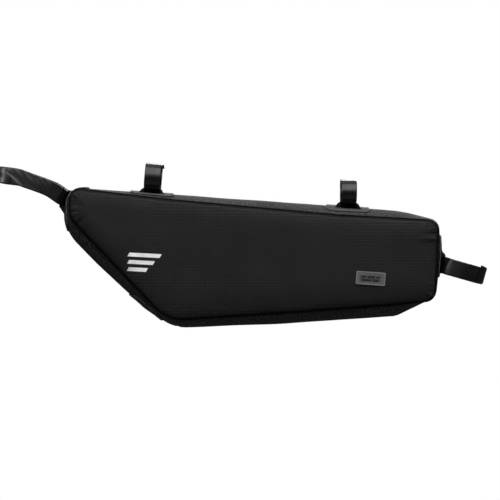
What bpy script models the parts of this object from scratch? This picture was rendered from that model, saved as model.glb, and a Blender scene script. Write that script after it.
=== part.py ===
"""Long wedge-shaped cloth bag that hangs in four strap loops.

All lengths are in metres. +X runs towards the tail, +Y away from the front panel and +Z up.
The origin is the middle of the space between the two top loops, where the bag is held up.
"""

import math
from typing import NamedTuple

import bmesh
import bpy
from mathutils import Matrix, Vector

MM = 0.001

# Bag body
BAG_LENGTH = 449 * MM
BAG_HEIGHT = 167 * MM
SEAM_WIDTH = 46 * MM
NOSE_X = -222 * MM
TOP_Z = -5 * MM
GUSSET_WALL = 2.0 * MM
PANEL_WALL = 2.5 * MM
PANEL_CROWN = 7.0 * MM
CROWN_RUN_TOP = 14 * MM
CROWN_RUN_BOTTOM = 45 * MM

# Clearance between two pieces that touch
GAP = 0.3 * MM

# Closure in the back panel
ZIP_END_MARGIN = 56 * MM
ZIP_WIDTH = 9 * MM
ZIP_THICKNESS = 2.0 * MM
ZIP_PROUD = 0.4 * MM
ZIP_BELOW_SEAM = 25 * MM
SLIDER_LENGTH = 13 * MM
SLIDER_WIDTH = 7.6 * MM
SLIDER_HEIGHT = 3.4 * MM
PULL_LENGTH = 28 * MM
PULL_WIDTH = 6 * MM
PULL_THICKNESS = 1.4 * MM
ROUND_END_STEPS = 6

# Label on the front panel, its place as shares of the bag's length and height
LABEL_WIDTH = 34.5 * MM
LABEL_HEIGHT = 15.5 * MM
LABEL_THICKNESS = 1.0 * MM
LABEL_PLACE = (0.8085, 0.3533)
LABEL_TILT = math.radians(-4.2)

# Straps and the sewn patches that anchor them
STRAP_WIDTH = 20 * MM
STRAP_THICKNESS = 1.4 * MM
ANCHOR_THICKNESS = 1.2 * MM
ANCHOR_WIDTH = 34 * MM
STRIP_WIDTH = 20 * MM
SLOT_WIDTH = 3 * MM
SLOT_LENGTH = 30 * MM
STRAP_LEAD = 3.5 * MM
LEAD_PULL = 0.6
PATCH_ROUNDNESS = 6
STEEPEST_RISE = 0.95
PATCH_LENGTH = 50 * MM
NOSE_PATCH_LENGTH = 70 * MM
STRIP_SLACK = 0.8 * MM
TAIL_SLOTS = 6 * MM

# Loops: reach from the bag, clear width, bends beside the bag and at the far side, and how
# far the free end lies from the far turn, has slipped, and the loop sits off its slots
TOP_SPACE = 34 * MM
TOP_INNER_TURN = 14 * MM
TOP_FAR_TURN = 9 * MM
TOP_LAP = 4 * MM
TOP_FRONT_REACH = 35.9 * MM
TOP_FRONT_SKEW = 1.8 * MM
TOP_FRONT_OFFSET = -0.1 * MM
TOP_REAR_REACH = 33.1 * MM
TOP_REAR_SKEW = 0.2 * MM
TOP_REAR_OFFSET = 0.3 * MM
HEAD_REACH = 88 * MM
HEAD_SPACE = 52 * MM
HEAD_INNER_TURN = 22 * MM
HEAD_FAR_TURN = 19 * MM
HEAD_LAP = 16 * MM
HEAD_SKEW = -0.8 * MM
HEAD_OFFSET = 3.4 * MM
SEAT_REACH = 54.6 * MM
SEAT_SPACE = 35 * MM
SEAT_INNER_TURN = 14 * MM
SEAT_FAR_TURN = 10 * MM
SEAT_LAP = 8.5 * MM
SEAT_SKEW = -2.4 * MM
SEAT_OFFSET = 3.7 * MM

# Sampling of arcs and runs, and the share of a run that one bend may take
ARC_STEP = math.radians(16)
RUN_STEP = 26 * MM
STRAP_RUN_STEP = 9 * MM
BEND_ROOM = 0.48


class Corner(NamedTuple):
    """One corner of the bag's side view, as shares of its length and height.

    The first three values belong to the outline half way between the seams, where the
    bag is largest. The last three belong to the seam of the side panels.
    """

    name: str
    x: float
    z: float
    radius: float
    seam_x: float
    seam_z: float
    seam_radius: float


CORNERS = (
    Corner("nose_top", 0.000, 1.005, 0.14, 0.020, 0.993, 0.07),
    Corner("top_front", 0.265, 0.956, 2.15, 0.268, 0.913, 2.10),
    Corner("top_rear", 0.729, 0.867, 2.15, 0.727, 0.799, 2.10),
    Corner("top_break", 0.896, 0.832, 0.50, 0.886, 0.777, 1.40),
    Corner("tail_top", 0.994, 0.764, 0.08, 0.988, 0.762, 0.08),
    Corner("tail_mid", 1.001, 0.530, 0.90, 0.985, 0.500, 2.10),
    Corner("tail_bottom", 0.986, 0.222, 0.09, 0.979, 0.197, 0.08),
    Corner("heel", 0.880, 0.080, 0.09, 0.876, 0.169, 0.40),
    Corner("bottom_break", 0.585, 0.027, 2.15, 0.584, 0.110, 2.10),
    Corner("toe", 0.285, -0.004, 0.29, 0.275, 0.055, 0.36),
    Corner("slope_low", 0.175, 0.230, 1.40, 0.210, 0.237, 2.10),
    Corner("slope_break", 0.092, 0.433, 1.07, 0.153, 0.399, 1.40),
    Corner("nose_bottom", 0.000, 0.688, 0.29, 0.014, 0.791, 0.14),
)

# Ridge of the side panels, as shares of the bag's length and height
SPINE = ((0.084, 0.812), (0.225, 0.554), (0.870, 0.475))

# Rings of a side panel, as shares of the run over which it crowns
PANEL_RINGS = (0.0, 0.05, 0.16, 0.36, 0.64, 1.0)

# Largest share of the way to the ridge that a panel's crown takes
RIDGE_SHARE = 0.8


class Anchor(NamedTuple):
    """One sewn patch.

    It lies at a share of the way between two corners. slots is how far its slots lie from
    its middle, and slack how far its strip stands off the bag when no strap is under it.
    """

    name: str
    start: str
    end: str
    share: float
    length: float
    slots: float
    slack: float


ANCHORS = (
    Anchor("anchor_top_front", "nose_top", "tail_top", 0.2225, PATCH_LENGTH, 0.0, 0.0),
    Anchor("anchor_top_rear", "nose_top", "tail_top", 0.7526, PATCH_LENGTH, 0.0, 0.0),
    Anchor("anchor_nose", "nose_bottom", "nose_top", 0.735, NOSE_PATCH_LENGTH, 0.0, 0.0),
    Anchor("anchor_slope", "toe", "nose_bottom", 0.232, PATCH_LENGTH, 0.0, STRIP_SLACK),
    Anchor("anchor_tail", "tail_top", "tail_bottom", 0.465, PATCH_LENGTH, TAIL_SLOTS, 0.0),
)


class Strap(NamedTuple):
    """One strap loop.

    width is a share of the webbing's width, reach the length from the bag to the far turn,
    space the clear width inside the loop, inner_turn and far_turn the radii of its bends,
    end_side the side of the bag on which its free end lies, lap how far that end lies from
    the far turn, skew how far it has slipped sideways, offset how far the loop sits beside
    the middle of its slots and lean the angle in degrees at which it leaves the patch.
    route holds the points that the loop's middle passes in the side view, as shares of
    reach along +X and +Z.
    """

    name: str
    anchor: str
    width: float
    reach: float
    space: float
    inner_turn: float
    far_turn: float
    end_side: int
    lap: float
    skew: float
    offset: float
    lean: float
    route: tuple


STRAPS = (
    Strap("strap_top_front", "anchor_top_front", 0.96, TOP_FRONT_REACH, TOP_SPACE,
          TOP_INNER_TURN, TOP_FAR_TURN, 1, TOP_LAP, TOP_FRONT_SKEW, TOP_FRONT_OFFSET, 0.0,
          ((0.082, 1.0),)),
    Strap("strap_top_rear", "anchor_top_rear", 0.92, TOP_REAR_REACH, TOP_SPACE,
          TOP_INNER_TURN, TOP_FAR_TURN, 1, TOP_LAP, TOP_REAR_SKEW, TOP_REAR_OFFSET, 0.0,
          ((0.022, 1.0),)),
    Strap("strap_head", "anchor_nose", 0.97, HEAD_REACH, HEAD_SPACE,
          HEAD_INNER_TURN, HEAD_FAR_TURN, -1, HEAD_LAP, HEAD_SKEW, HEAD_OFFSET, -3.0,
          ((-0.218, 0.143), (-0.519, 0.256), (-0.640, 0.298), (-0.854, 0.327))),
    Strap("strap_seat", "anchor_tail", 0.97, SEAT_REACH, SEAT_SPACE,
          SEAT_INNER_TURN, SEAT_FAR_TURN, -1, SEAT_LAP, SEAT_SKEW, SEAT_OFFSET, 0.0,
          ((0.242, -0.068), (0.954, -0.270))),
)


def flat_direction(start: Vector, end: Vector) -> Vector:
    """Return the unit vector from start to end."""
    return (end - start).normalized()


def turned(vector: Vector, angle: float) -> Vector:
    """Return a flat vector turned anticlockwise by an angle."""
    cosine, sine = math.cos(angle), math.sin(angle)
    return Vector((cosine * vector.x - sine * vector.y, sine * vector.x + cosine * vector.y))


def eased(value: float) -> float:
    """Return a smooth step from 0 to 1."""
    value = min(max(value, 0.0), 1.0)
    return value * value * (3 - 2 * value)


class Fillet:
    """A round bend at one corner of a chain of straight runs."""

    def __init__(self, before: Vector, corner: Vector, after: Vector, radius: float) -> None:
        back, ahead = flat_direction(corner, before), flat_direction(corner, after)
        self.turn = -back.angle_signed(-ahead)
        half = max(abs(self.turn) / 2, 1e-4)
        room = BEND_ROOM * min((before - corner).length, (after - corner).length)
        reach = min(radius * math.tan(half), room)
        self.radius = reach / math.tan(half)
        self.start = corner + back * reach
        self.end = corner + ahead * reach
        self.centre = corner + (back + ahead).normalized() * self.radius / math.cos(half)
        self.length = self.radius * abs(self.turn)

    def point(self, share: float) -> Vector:
        """Return the point at a share of the bend."""
        return self.centre + turned(self.start - self.centre, self.turn * share)


class Outline:
    """A closed chain of fillets and straight runs, clockwise, with its outside on the left."""

    def __init__(self, corners: list, radii: list) -> None:
        count = len(corners)
        self.bends = [
            Fillet(corners[i - 1], corners[i], corners[(i + 1) % count], radii[i])
            for i in range(count)
        ]
        self.lengths = []
        for index, bend in enumerate(self.bends):
            following = self.bends[(index + 1) % count]
            self.lengths += [bend.length, (following.start - bend.end).length]

    def point(self, element: int, share: float) -> Vector:
        """Return a point on an element: even ones are bends, odd ones straight runs."""
        bend = self.bends[element // 2]
        if element % 2 == 0:
            return bend.point(share)
        following = self.bends[(element // 2 + 1) % len(self.bends)]
        return bend.end.lerp(following.start, share)

    def normal(self, element: int, share: float) -> Vector:
        """Return the outward direction at a point on an element."""
        bend = self.bends[element // 2]
        if element % 2 == 0:
            sign = -1 if bend.turn > 0 else 1
            return flat_direction(bend.centre, bend.point(share)) * sign
        following = self.bends[(element // 2 + 1) % len(self.bends)]
        return turned(flat_direction(bend.end, following.start), math.pi / 2)

    def distance(self, element: int, share: float) -> float:
        """Return the length from the outline's start to a point on an element."""
        return sum(self.lengths[:element]) + self.lengths[element] * share

    def locate(self, distance: float) -> tuple:
        """Return the element and the share at a distance from the outline's start."""
        distance %= sum(self.lengths)
        for element, length in enumerate(self.lengths):
            if distance <= length:
                return element, distance / length
            distance -= length
        return len(self.lengths) - 1, 1.0

    def samples(self) -> list:
        """Return the elements and shares at which the outline is sampled."""
        places = []
        for element, length in enumerate(self.lengths):
            if element % 2 == 0:
                steps = math.ceil(abs(self.bends[element // 2].turn) / ARC_STEP)
            else:
                steps = math.ceil(length / RUN_STEP)
            places += [(element, step / steps) for step in range(steps)]
        return places


def on_bag(x_share: float, z_share: float) -> Vector:
    """Return the side-view point at shares of the bag's length and height."""
    return Vector((NOSE_X + BAG_LENGTH * x_share, TOP_Z - BAG_HEIGHT * (1 - z_share)))


MIDDLE = Outline([on_bag(c.x, c.z) for c in CORNERS], [c.radius * BAG_HEIGHT for c in CORNERS])
SEAM = Outline(
    [on_bag(c.seam_x, c.seam_z) for c in CORNERS],
    [c.seam_radius * BAG_HEIGHT for c in CORNERS],
)
PLACES = MIDDLE.samples()
SEAM_LOOP = [SEAM.point(*place) for place in PLACES]


def in_space(flat: Vector, y: float) -> Vector:
    """Return the point in space of a side-view point at a depth."""
    return Vector((flat.x, y, flat.y))


def gusset_inset(element: int, share: float, y: float) -> Vector:
    """Return how far the gusset has moved in from the middle outline at a depth."""
    middle, seam = MIDDLE.point(element, share), SEAM.point(element, share)
    return (seam - middle) * (2 * y / SEAM_WIDTH) ** 2


def gusset_point(element: int, share: float, y: float, height: float = 0.0) -> Vector:
    """Return a point at a height above the gusset's outer face."""
    flat = MIDDLE.point(element, share) + gusset_inset(element, share, y)
    return in_space(flat + MIDDLE.normal(element, share) * height, y)


def seam_distance(flat: Vector) -> float:
    """Return the distance of a side-view point from the panel's seam."""
    nearest = BAG_LENGTH
    for start, end in zip(SEAM_LOOP, SEAM_LOOP[1:] + SEAM_LOOP[:1]):
        run = end - start
        share = min(max((flat - start).dot(run) / run.length_squared, 0.0), 1.0)
        nearest = min(nearest, (flat - start - run * share).length)
    return nearest


def crown_run(flat: Vector) -> float:
    """Return the length over which a side panel crowns, which grows towards the bottom."""
    share = min(max((TOP_Z - flat.y) / BAG_HEIGHT, 0.0), 1.0)
    return CROWN_RUN_TOP + (CROWN_RUN_BOTTOM - CROWN_RUN_TOP) * share


def crown_height(flat: Vector, inner: float = 0.0) -> float:
    """Return how far a side panel stands out from its seam plane, or its inner face does."""
    run = crown_run(flat) - inner
    share = min(max((seam_distance(flat) - inner) / run, 0.0), 1.0)
    return (PANEL_CROWN - inner) * math.sqrt(share * (2 - share))


def spine_target(flat: Vector) -> Vector:
    """Return the point of the panel's ridge that is nearest to a side-view point."""
    ridge = [on_bag(*shares) for shares in SPINE]
    best = ridge[0]
    for start, end in zip(ridge, ridge[1:]):
        run = end - start
        share = min(max((flat - start).dot(run) / run.length_squared, 0.0), 1.0)
        place = start + run * share
        if (flat - place).length < (flat - best).length:
            best = place
    return best


def material(name: str, colour: tuple, roughness: float) -> bpy.types.Material:
    """Return a Principled material."""
    made = bpy.data.materials.new(name)
    made.use_nodes = True
    shader = made.node_tree.nodes["Principled BSDF"]
    shader.inputs["Base Color"].default_value = (*colour, 1.0)
    shader.inputs["Roughness"].default_value = roughness
    shader.inputs["Metallic"].default_value = 0.0
    made.diffuse_color = (*colour, 1.0)
    return made


def add_object(name: str, shape: bmesh.types.BMesh, finish: bpy.types.Material) -> bpy.types.Object:
    """Turn a shape into a named object with a smooth-shaded mesh."""
    bmesh.ops.recalc_face_normals(shape, faces=shape.faces)
    mesh = bpy.data.meshes.new(name)
    shape.to_mesh(mesh)
    shape.free()
    mesh.shade_smooth()
    mesh.set_sharp_from_angle(angle=math.radians(40))
    mesh.materials.append(finish)
    made = bpy.data.objects.new(name, mesh)
    bpy.context.scene.collection.objects.link(made)
    return made


def loft(rings: list, joined: bool) -> bmesh.types.BMesh:
    """Join rings of points into a closed shape.

    With joined the last ring meets the first, and else both end rings are filled.
    """
    shape = bmesh.new()
    loops = [[shape.verts.new(point) for point in ring] for ring in rings]
    pairs = list(zip(loops, loops[1:]))
    if joined:
        pairs.append((loops[-1], loops[0]))
    else:
        shape.faces.new(loops[0][::-1])
        shape.faces.new(loops[-1])
    for lower, upper in pairs:
        count = len(lower)
        for i in range(count):
            k = (i + 1) % count
            shape.faces.new((lower[i], lower[k], upper[k], upper[i]))
    return shape


def build_gusset(finish: bpy.types.Material) -> None:
    """Build the band between the two seams as an open ring of cloth."""
    depths = [SEAM_WIDTH / 2 * share for share in (-1, -0.75, -0.5, -0.25, 0, 0.25, 0.5, 0.75, 1)]
    rings = [[gusset_point(*place, y) for place in PLACES] for y in depths]
    for y in reversed(depths):
        ring = []
        for place in PLACES:
            slope = 2 * gusset_inset(*place, SEAM_WIDTH / 2).length * 2 * y / SEAM_WIDTH
            steepness = math.hypot(1.0, slope / (SEAM_WIDTH / 2))
            ring.append(gusset_point(*place, y, -GUSSET_WALL * steepness))
        rings.append(ring)
    add_object("gusset", loft(rings, joined=True), finish)


def panel_rings(side: int, inner: float) -> list:
    """Return the rings of a side panel's face, from the seam to its flat middle.

    side is -1 for the front panel and 1 for the back one, inner 0 for the outer face and
    the wall for the inner one.
    """
    base = SEAM_WIDTH / 2 + GAP
    rings = []
    for ring_share in PANEL_RINGS:
        ring = []
        for start in SEAM_LOOP:
            target = spine_target(start)
            run = crown_run(start)
            room = RIDGE_SHARE * (target - start).length
            inset = min(inner + ring_share * (run - inner), room)
            flat = start + flat_direction(start, target) * inset
            if ring_share == PANEL_RINGS[0]:
                height = 0.0
            elif ring_share == PANEL_RINGS[-1]:
                height = PANEL_CROWN - inner
            else:
                height = crown_height(flat, inner)
            ring.append(in_space(flat, side * (base + height)))
        rings.append(ring)
    return rings


def build_panel(name: str, side: int, finish: bpy.types.Material) -> bpy.types.Object:
    """Build one crowned side panel as a shell with an open back."""
    outer, inner = panel_rings(side, 0.0), panel_rings(side, PANEL_WALL)
    return add_object(name, loft(inner[::-1] + outer, joined=False), finish)


def seam_corner(name: str) -> Vector:
    """Return the side-view place of a named corner of the panel's seam."""
    corner = next(corner for corner in CORNERS if corner.name == name)
    return on_bag(corner.seam_x, corner.seam_z)


def zip_length() -> float:
    """Return the length of the closure, the top seam's less a margin at each end."""
    return (seam_corner("tail_top") - seam_corner("nose_top")).length - 2 * ZIP_END_MARGIN


def zip_frame() -> Matrix:
    """Return the frame of the closure: X along it, Y out of the back panel.

    It lies below the middle of the top seam's long run and parallel to that run.
    """
    front, rear = seam_corner("top_front"), seam_corner("top_rear")
    tilt = math.atan2(front.y - rear.y, rear.x - front.x)
    middle = front.lerp(rear, 0.5) - Vector((0.0, ZIP_BELOW_SEAM))
    depth = SEAM_WIDTH / 2 + GAP + PANEL_CROWN
    return Matrix.Translation(in_space(middle, depth)) @ Matrix.Rotation(tilt, 4, "Y")


def slot_prism(
    length: float, width: float, low: float, high: float, shift: float = 0.0
) -> bmesh.types.BMesh:
    """Return a round-ended bar along the closure, between two depths of its frame."""
    radius = width / 2
    loop = []
    for sign in (1, -1):
        for step in range(ROUND_END_STEPS + 1):
            angle = -math.pi / 2 + math.pi * step / ROUND_END_STEPS
            x = sign * (length / 2 - radius + radius * math.cos(angle))
            loop.append((x + shift, sign * radius * math.sin(angle)))
    rings = [[Vector((x, y, z)) for x, z in loop] for y in (low, high)]
    shape = loft(rings, joined=False)
    shape.transform(zip_frame())
    bmesh.ops.recalc_face_normals(shape, faces=shape.faces)
    return shape


def combine(target: bpy.types.Object, shape: bmesh.types.BMesh, operation: str) -> None:
    """Apply a Boolean with a shape to an object."""
    mesh = bpy.data.meshes.new("tool")
    shape.to_mesh(mesh)
    shape.free()
    tool = bpy.data.objects.new("tool", mesh)
    bpy.context.scene.collection.objects.link(tool)
    modifier = target.modifiers.new("combine", "BOOLEAN")
    modifier.operation = operation
    modifier.object = tool
    modifier.solver = "EXACT"
    depsgraph = bpy.context.evaluated_depsgraph_get()
    result = bpy.data.meshes.new_from_object(target.evaluated_get(depsgraph))
    target.modifiers.remove(modifier)
    target.data = result
    bpy.data.objects.remove(tool)


def build_zip(back_panel: bpy.types.Object, finish: bpy.types.Material) -> None:
    """Cut the slot in the back panel and fill it with the closed zip and its slider."""
    length, cut_depth = zip_length(), PANEL_CROWN
    slot = slot_prism(length + 2 * GAP, ZIP_WIDTH + 2 * GAP, -cut_depth, cut_depth)
    combine(back_panel, slot, "DIFFERENCE")
    strip = slot_prism(length, ZIP_WIDTH, ZIP_PROUD - ZIP_THICKNESS, ZIP_PROUD)
    closure = add_object("zip", strip, finish)
    slider_x = length / 2 - SLIDER_LENGTH
    slider = slot_prism(SLIDER_LENGTH, SLIDER_WIDTH, 0.0, SLIDER_HEIGHT, slider_x)
    combine(closure, slider, "UNION")
    pull_x = slider_x - PULL_LENGTH / 2
    pull_top = SLIDER_HEIGHT - PULL_THICKNESS / 2
    pull = slot_prism(PULL_LENGTH, PULL_WIDTH, pull_top - PULL_THICKNESS, pull_top, pull_x)
    combine(closure, pull, "UNION")


def build_label(finish: bpy.types.Material) -> None:
    """Build the label as a thin plate that follows the front panel."""
    centre = on_bag(*LABEL_PLACE)
    base = SEAM_WIDTH / 2 + GAP

    def place(x: float, z: float, height: float) -> Vector:
        flat = centre + turned(Vector((x, z)), LABEL_TILT)
        return in_space(flat, -(base + crown_height(flat) + height))

    across = [LABEL_WIDTH * (step / 6 - 0.5) for step in range(7)]
    along = [LABEL_HEIGHT * (step / 3 - 0.5) for step in range(4)]
    shape = gridded(place, across, along, GAP, GAP + LABEL_THICKNESS, [])
    add_object("label_patch", shape, finish)


def gridded(
    place, across: list, along: list, low: float, high: float, holes: list
) -> bmesh.types.BMesh:
    """Build a plate from a grid of cells with some of them left out.

    place(a, b, height) gives a point in space, across and along the grid's lines, and
    holes the cells that are open.
    """
    shape = bmesh.new()
    layers = []
    for height in (low, high):
        layer = {}
        for i, a in enumerate(across):
            for j, b in enumerate(along):
                layer[i, j] = shape.verts.new(place(a, b, height))
        layers.append(layer)
    cells = {
        (i, j) for i in range(len(across) - 1) for j in range(len(along) - 1) if (i, j) not in holes
    }
    for i, j in cells:
        corners = ((i, j), (i + 1, j), (i + 1, j + 1), (i, j + 1))
        shape.faces.new([layers[0][corner] for corner in corners][::-1])
        shape.faces.new([layers[1][corner] for corner in corners])
        beyond = ((i, j - 1), (i + 1, j), (i, j + 1), (i - 1, j))
        for side, neighbour in enumerate(beyond):
            if neighbour in cells:
                continue
            first, second = corners[side], corners[(side + 1) % 4]
            shape.faces.new((layers[0][first], layers[0][second], layers[1][second], layers[1][first]))
    for loose in [vert for vert in shape.verts if not vert.link_faces]:
        shape.verts.remove(loose)
    return shape


def corner_distance(name: str) -> float:
    """Return the distance along the middle outline to the middle of a named corner."""
    index = [corner.name for corner in CORNERS].index(name)
    return MIDDLE.distance(2 * index, 0.5)


def anchor_distance(anchor: Anchor) -> float:
    """Return the distance along the middle outline to the middle of an anchor."""
    start, end = corner_distance(anchor.start), corner_distance(anchor.end)
    if end < start:
        end += sum(MIDDLE.lengths)
    return start + (end - start) * anchor.share


def strap_seat_on(anchor: Anchor, strap: Strap) -> tuple:
    """Return where a strap leaves the bag, and its directions outward and along the outline."""
    place = MIDDLE.locate(anchor_distance(anchor) + anchor.slots + strap.offset)
    outward = turned(MIDDLE.normal(*place), math.radians(strap.lean))
    return MIDDLE.point(*place), outward, turned(outward, -math.pi / 2)


def strap_base() -> float:
    """Return the height of a strap's middle above the bag where it passes under its strip."""
    return GAP + STRAP_THICKNESS / 2


def strap_half(strap: Strap) -> float:
    """Return the depth of a strap's middle at either side of its loop."""
    return strap.space / 2 + STRAP_THICKNESS / 2


def strap_rise(strap: Strap, y: float) -> tuple:
    """Return the height of a strap's middle under its strip, and its slope there."""
    beyond = abs(y) - (strap_half(strap) - strap.inner_turn)
    if beyond <= 0:
        return strap_base(), 0.0
    beyond = min(beyond, STEEPEST_RISE * strap.inner_turn)
    drop = math.sqrt(strap.inner_turn ** 2 - beyond ** 2)
    return strap_base() + strap.inner_turn - drop, beyond / drop


def build_anchor(anchor: Anchor, finish: bpy.types.Material) -> None:
    """Build a sewn patch with two slots and the raised strip between them.

    Places on it are lengths from the middle of its slots.
    """
    middle = anchor_distance(anchor) + anchor.slots
    strap = next((strap for strap in STRAPS if strap.anchor == anchor.name), None)
    centre = strap.offset if strap else 0.0
    flat_end = STRAP_WIDTH / 2 + 2 * GAP
    slot_end = SLOT_LENGTH / 2
    far = anchor.length / 2
    rounded_far = far + GAP

    def lying(a: float, b: float, height: float) -> Vector:
        """Return a point of the patch where it lies on the gusset."""
        rounding = (
            1 - (abs(a + anchor.slots) / rounded_far) ** PATCH_ROUNDNESS
        ) ** (1 / PATCH_ROUNDNESS)
        return gusset_point(*MIDDLE.locate(middle + a), b * rounding, height)

    def place(a: float, b: float, height: float) -> Vector:
        """Return a point of the patch with its strip raised."""
        point = lying(a, b, height)
        if abs(b) > STRIP_WIDTH / 2 + GAP or abs(a) >= slot_end:
            return point
        if not strap:
            lift = anchor.slack * math.cos(math.pi / 2 * a / slot_end) ** 2
            return lying(a, b, height + lift)
        base, outward, tangent = strap_seat_on(anchor, strap)
        rise, slope = strap_rise(strap, b)
        above = rise + (STRAP_THICKNESS / 2 + height) * math.hypot(1.0, slope)
        raised = in_space(base + outward * above + tangent * (a - centre), b)
        ramp_end = slot_end - abs(centre) if a * centre > 0 else slot_end + abs(centre)
        share = 1 - eased((abs(a - centre) - flat_end) / (ramp_end - flat_end))
        return point.lerp(raised, share)

    first_end, last_end = -far - anchor.slots, far - anchor.slots
    across = [first_end + (-slot_end - first_end) * share for share in (0.0, 0.15, 0.4, 0.7)]
    across += [-slot_end, (centre - flat_end - slot_end) / 2]
    across += [centre + flat_end * share for share in (-1.0, -0.5, 0.0, 0.5, 1.0)]
    across += [(centre + flat_end + slot_end) / 2, slot_end]
    across += [slot_end + (last_end - slot_end) * share for share in (0.3, 0.6, 0.85, 1.0)]
    slot_low, slot_high = STRIP_WIDTH / 2, STRIP_WIDTH / 2 + SLOT_WIDTH
    side = [slot_low / 2, slot_low, slot_high, ANCHOR_WIDTH / 2]
    along = [-b for b in reversed(side)] + [0.0] + side
    holes = []
    for i, (first, second) in enumerate(zip(across, across[1:])):
        if abs(first) <= slot_end + GAP and abs(second) <= slot_end + GAP:
            holes += [(i, 1), (i, len(along) - 3)]
    shape = gridded(place, across, along, GAP, GAP + ANCHOR_THICKNESS, holes)
    add_object(anchor.name, shape, finish)


class Route:
    """The middle line of a strap loop in the side view, a smooth curve from the bag."""

    STEPS = 12

    def __init__(self, strap: Strap) -> None:
        anchor = [anchor for anchor in ANCHORS if anchor.name == strap.anchor][0]
        base, outward, _ = strap_seat_on(anchor, strap)
        lead = base + outward * STRAP_LEAD
        knots = [lead] + [base + Vector(shares) * strap.reach for shares in strap.route]
        slopes = [outward * (knots[1] - lead).length * LEAD_PULL]
        for before, after in zip(knots, knots[2:]):
            slopes.append((after - before) / 2)
        slopes.append(knots[-1] - knots[-2])
        self.points = [base, lead]
        for i in range(len(knots) - 1):
            for step in range(1, self.STEPS + 1):
                self.points.append(self.hermite(knots, slopes, i, step / self.STEPS))

    @staticmethod
    def hermite(knots: list, slopes: list, i: int, t: float) -> Vector:
        """Return a point on the cubic between two knots."""
        start = knots[i] * (2 * t ** 3 - 3 * t ** 2 + 1) + slopes[i] * (t ** 3 - 2 * t ** 2 + t)
        end = knots[i + 1] * (3 * t ** 2 - 2 * t ** 3) + slopes[i + 1] * (t ** 3 - t ** 2)
        return start + end

    def at(self, distance: float) -> tuple:
        """Return the point and the direction at a distance from the bag."""
        for start, end in zip(self.points, self.points[1:]):
            length = (end - start).length
            if distance <= length or end is self.points[-1]:
                direction = flat_direction(start, end)
                return start + direction * distance, direction
            distance -= length
        return self.points[-1], direction


def loop_line(strap: Strap) -> list:
    """Return the strap's middle line as distances from the bag and depths.

    Its free end comes to lie in front, at negative depths.
    """
    half = strap_half(strap)
    layer = STRAP_THICKNESS + GAP
    outer = strap.reach - STRAP_THICKNESS / 2
    inner = outer - layer
    corners = [
        (inner, 0.0, 0.0),
        (inner, -half, strap.far_turn),
        (strap_base(), -half, strap.inner_turn),
        (strap_base(), half, strap.inner_turn),
        (inner, half, strap.far_turn),
        (inner, 4 * layer, layer),
        (outer, layer, layer),
        (outer, -half - layer, strap.far_turn + layer),
        (inner - strap.far_turn - strap.lap, -half - layer, 0.0),
    ]
    points = [Vector(corner[:2]) for corner in corners]
    line = [points[0]]
    for i in range(1, len(points) - 1):
        bend = Fillet(points[i - 1], points[i], points[i + 1], corners[i][2])
        line += subdivided(line[-1], bend.start)
        steps = math.ceil(abs(bend.turn) / ARC_STEP)
        line += [bend.point(step / steps) for step in range(1, steps + 1)]
    line += subdivided(line[-1], points[-1])
    return trimmed(line, outer - strap.lap)


def subdivided(start: Vector, end: Vector) -> list:
    """Return the points of a straight run after its first one."""
    steps = max(1, math.ceil((end - start).length / STRAP_RUN_STEP))
    return [start.lerp(end, step / steps) for step in range(1, steps + 1)]


def trimmed(line: list, level: float) -> list:
    """Return the line up to where its last stretch comes down to a level."""
    last = max(i for i, point in enumerate(line) if point.x >= level)
    first, second = line[last], line[last + 1]
    share = max((first.x - level) / (first.x - second.x), 0.2)
    return line[:last + 1] + [first.lerp(second, share)]


def build_strap(strap: Strap, finish: bpy.types.Material) -> None:
    """Build a strap as one band wound into a loop, its free end lying on its start."""
    route = Route(strap)
    line = loop_line(strap)
    mirror = -strap.end_side
    lap_start = max(i for i, point in enumerate(line) if point.y > 0)
    rings = []
    for i, point in enumerate(line):
        ahead = flat_direction(line[max(i - 1, 0)], line[min(i + 1, len(line) - 1)])
        place, direction = route.at(point.x)
        across = turned(direction, -math.pi / 2)
        slip = strap.skew * max(0, i - lap_start) / (len(line) - 1 - lap_start)
        thick = in_space(direction * -ahead.y, ahead.x * mirror).normalized() * STRAP_THICKNESS / 2
        wide = in_space(across, 0.0) * STRAP_WIDTH * strap.width / 2
        centre = in_space(place + across * slip, point.y * mirror)
        rings.append([
            centre - thick - wide, centre + thick - wide, centre + thick + wide, centre - thick + wide,
        ])
    add_object(strap.name, loft(rings, joined=False), finish)


def main() -> None:
    """Clear the scene and build every piece."""
    for old in list(bpy.data.objects):
        bpy.data.objects.remove(old)
    panel_cloth = material("panel_cloth", (0.020, 0.020, 0.021), 0.72)
    gusset_cloth = material("gusset_cloth", (0.034, 0.034, 0.036), 0.85)
    anchor_cloth = material("anchor_cloth", (0.036, 0.036, 0.038), 0.60)
    strap_webbing = material("strap_webbing", (0.012, 0.013, 0.015), 0.38)
    zip_tape = material("zip_tape", (0.015, 0.015, 0.016), 0.50)
    label_grey = material("label_grey", (0.13, 0.13, 0.13), 0.55)

    build_gusset(gusset_cloth)
    build_panel("front_panel", -1, panel_cloth)
    back_panel = build_panel("back_panel", 1, panel_cloth)
    build_zip(back_panel, zip_tape)
    build_label(label_grey)
    for anchor in ANCHORS:
        build_anchor(anchor, anchor_cloth)
    for strap in STRAPS:
        build_strap(strap, strap_webbing)


main()
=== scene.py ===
"""Looks of a long wedge-shaped cloth bag that hangs in four strap loops.

All lengths are in metres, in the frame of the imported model: +X runs towards the tail, +Y away
from the front panel and +Z up. A flat point is a place in the side view, as X and Z.
"""

from __future__ import annotations

import logging
import math
from dataclasses import dataclass, field
from enum import Enum
from typing import Callable, NamedTuple, Sequence

import bmesh
import bpy
import numpy as np
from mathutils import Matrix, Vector, noise
from mathutils.geometry import delaunay_2d_cdt

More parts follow.
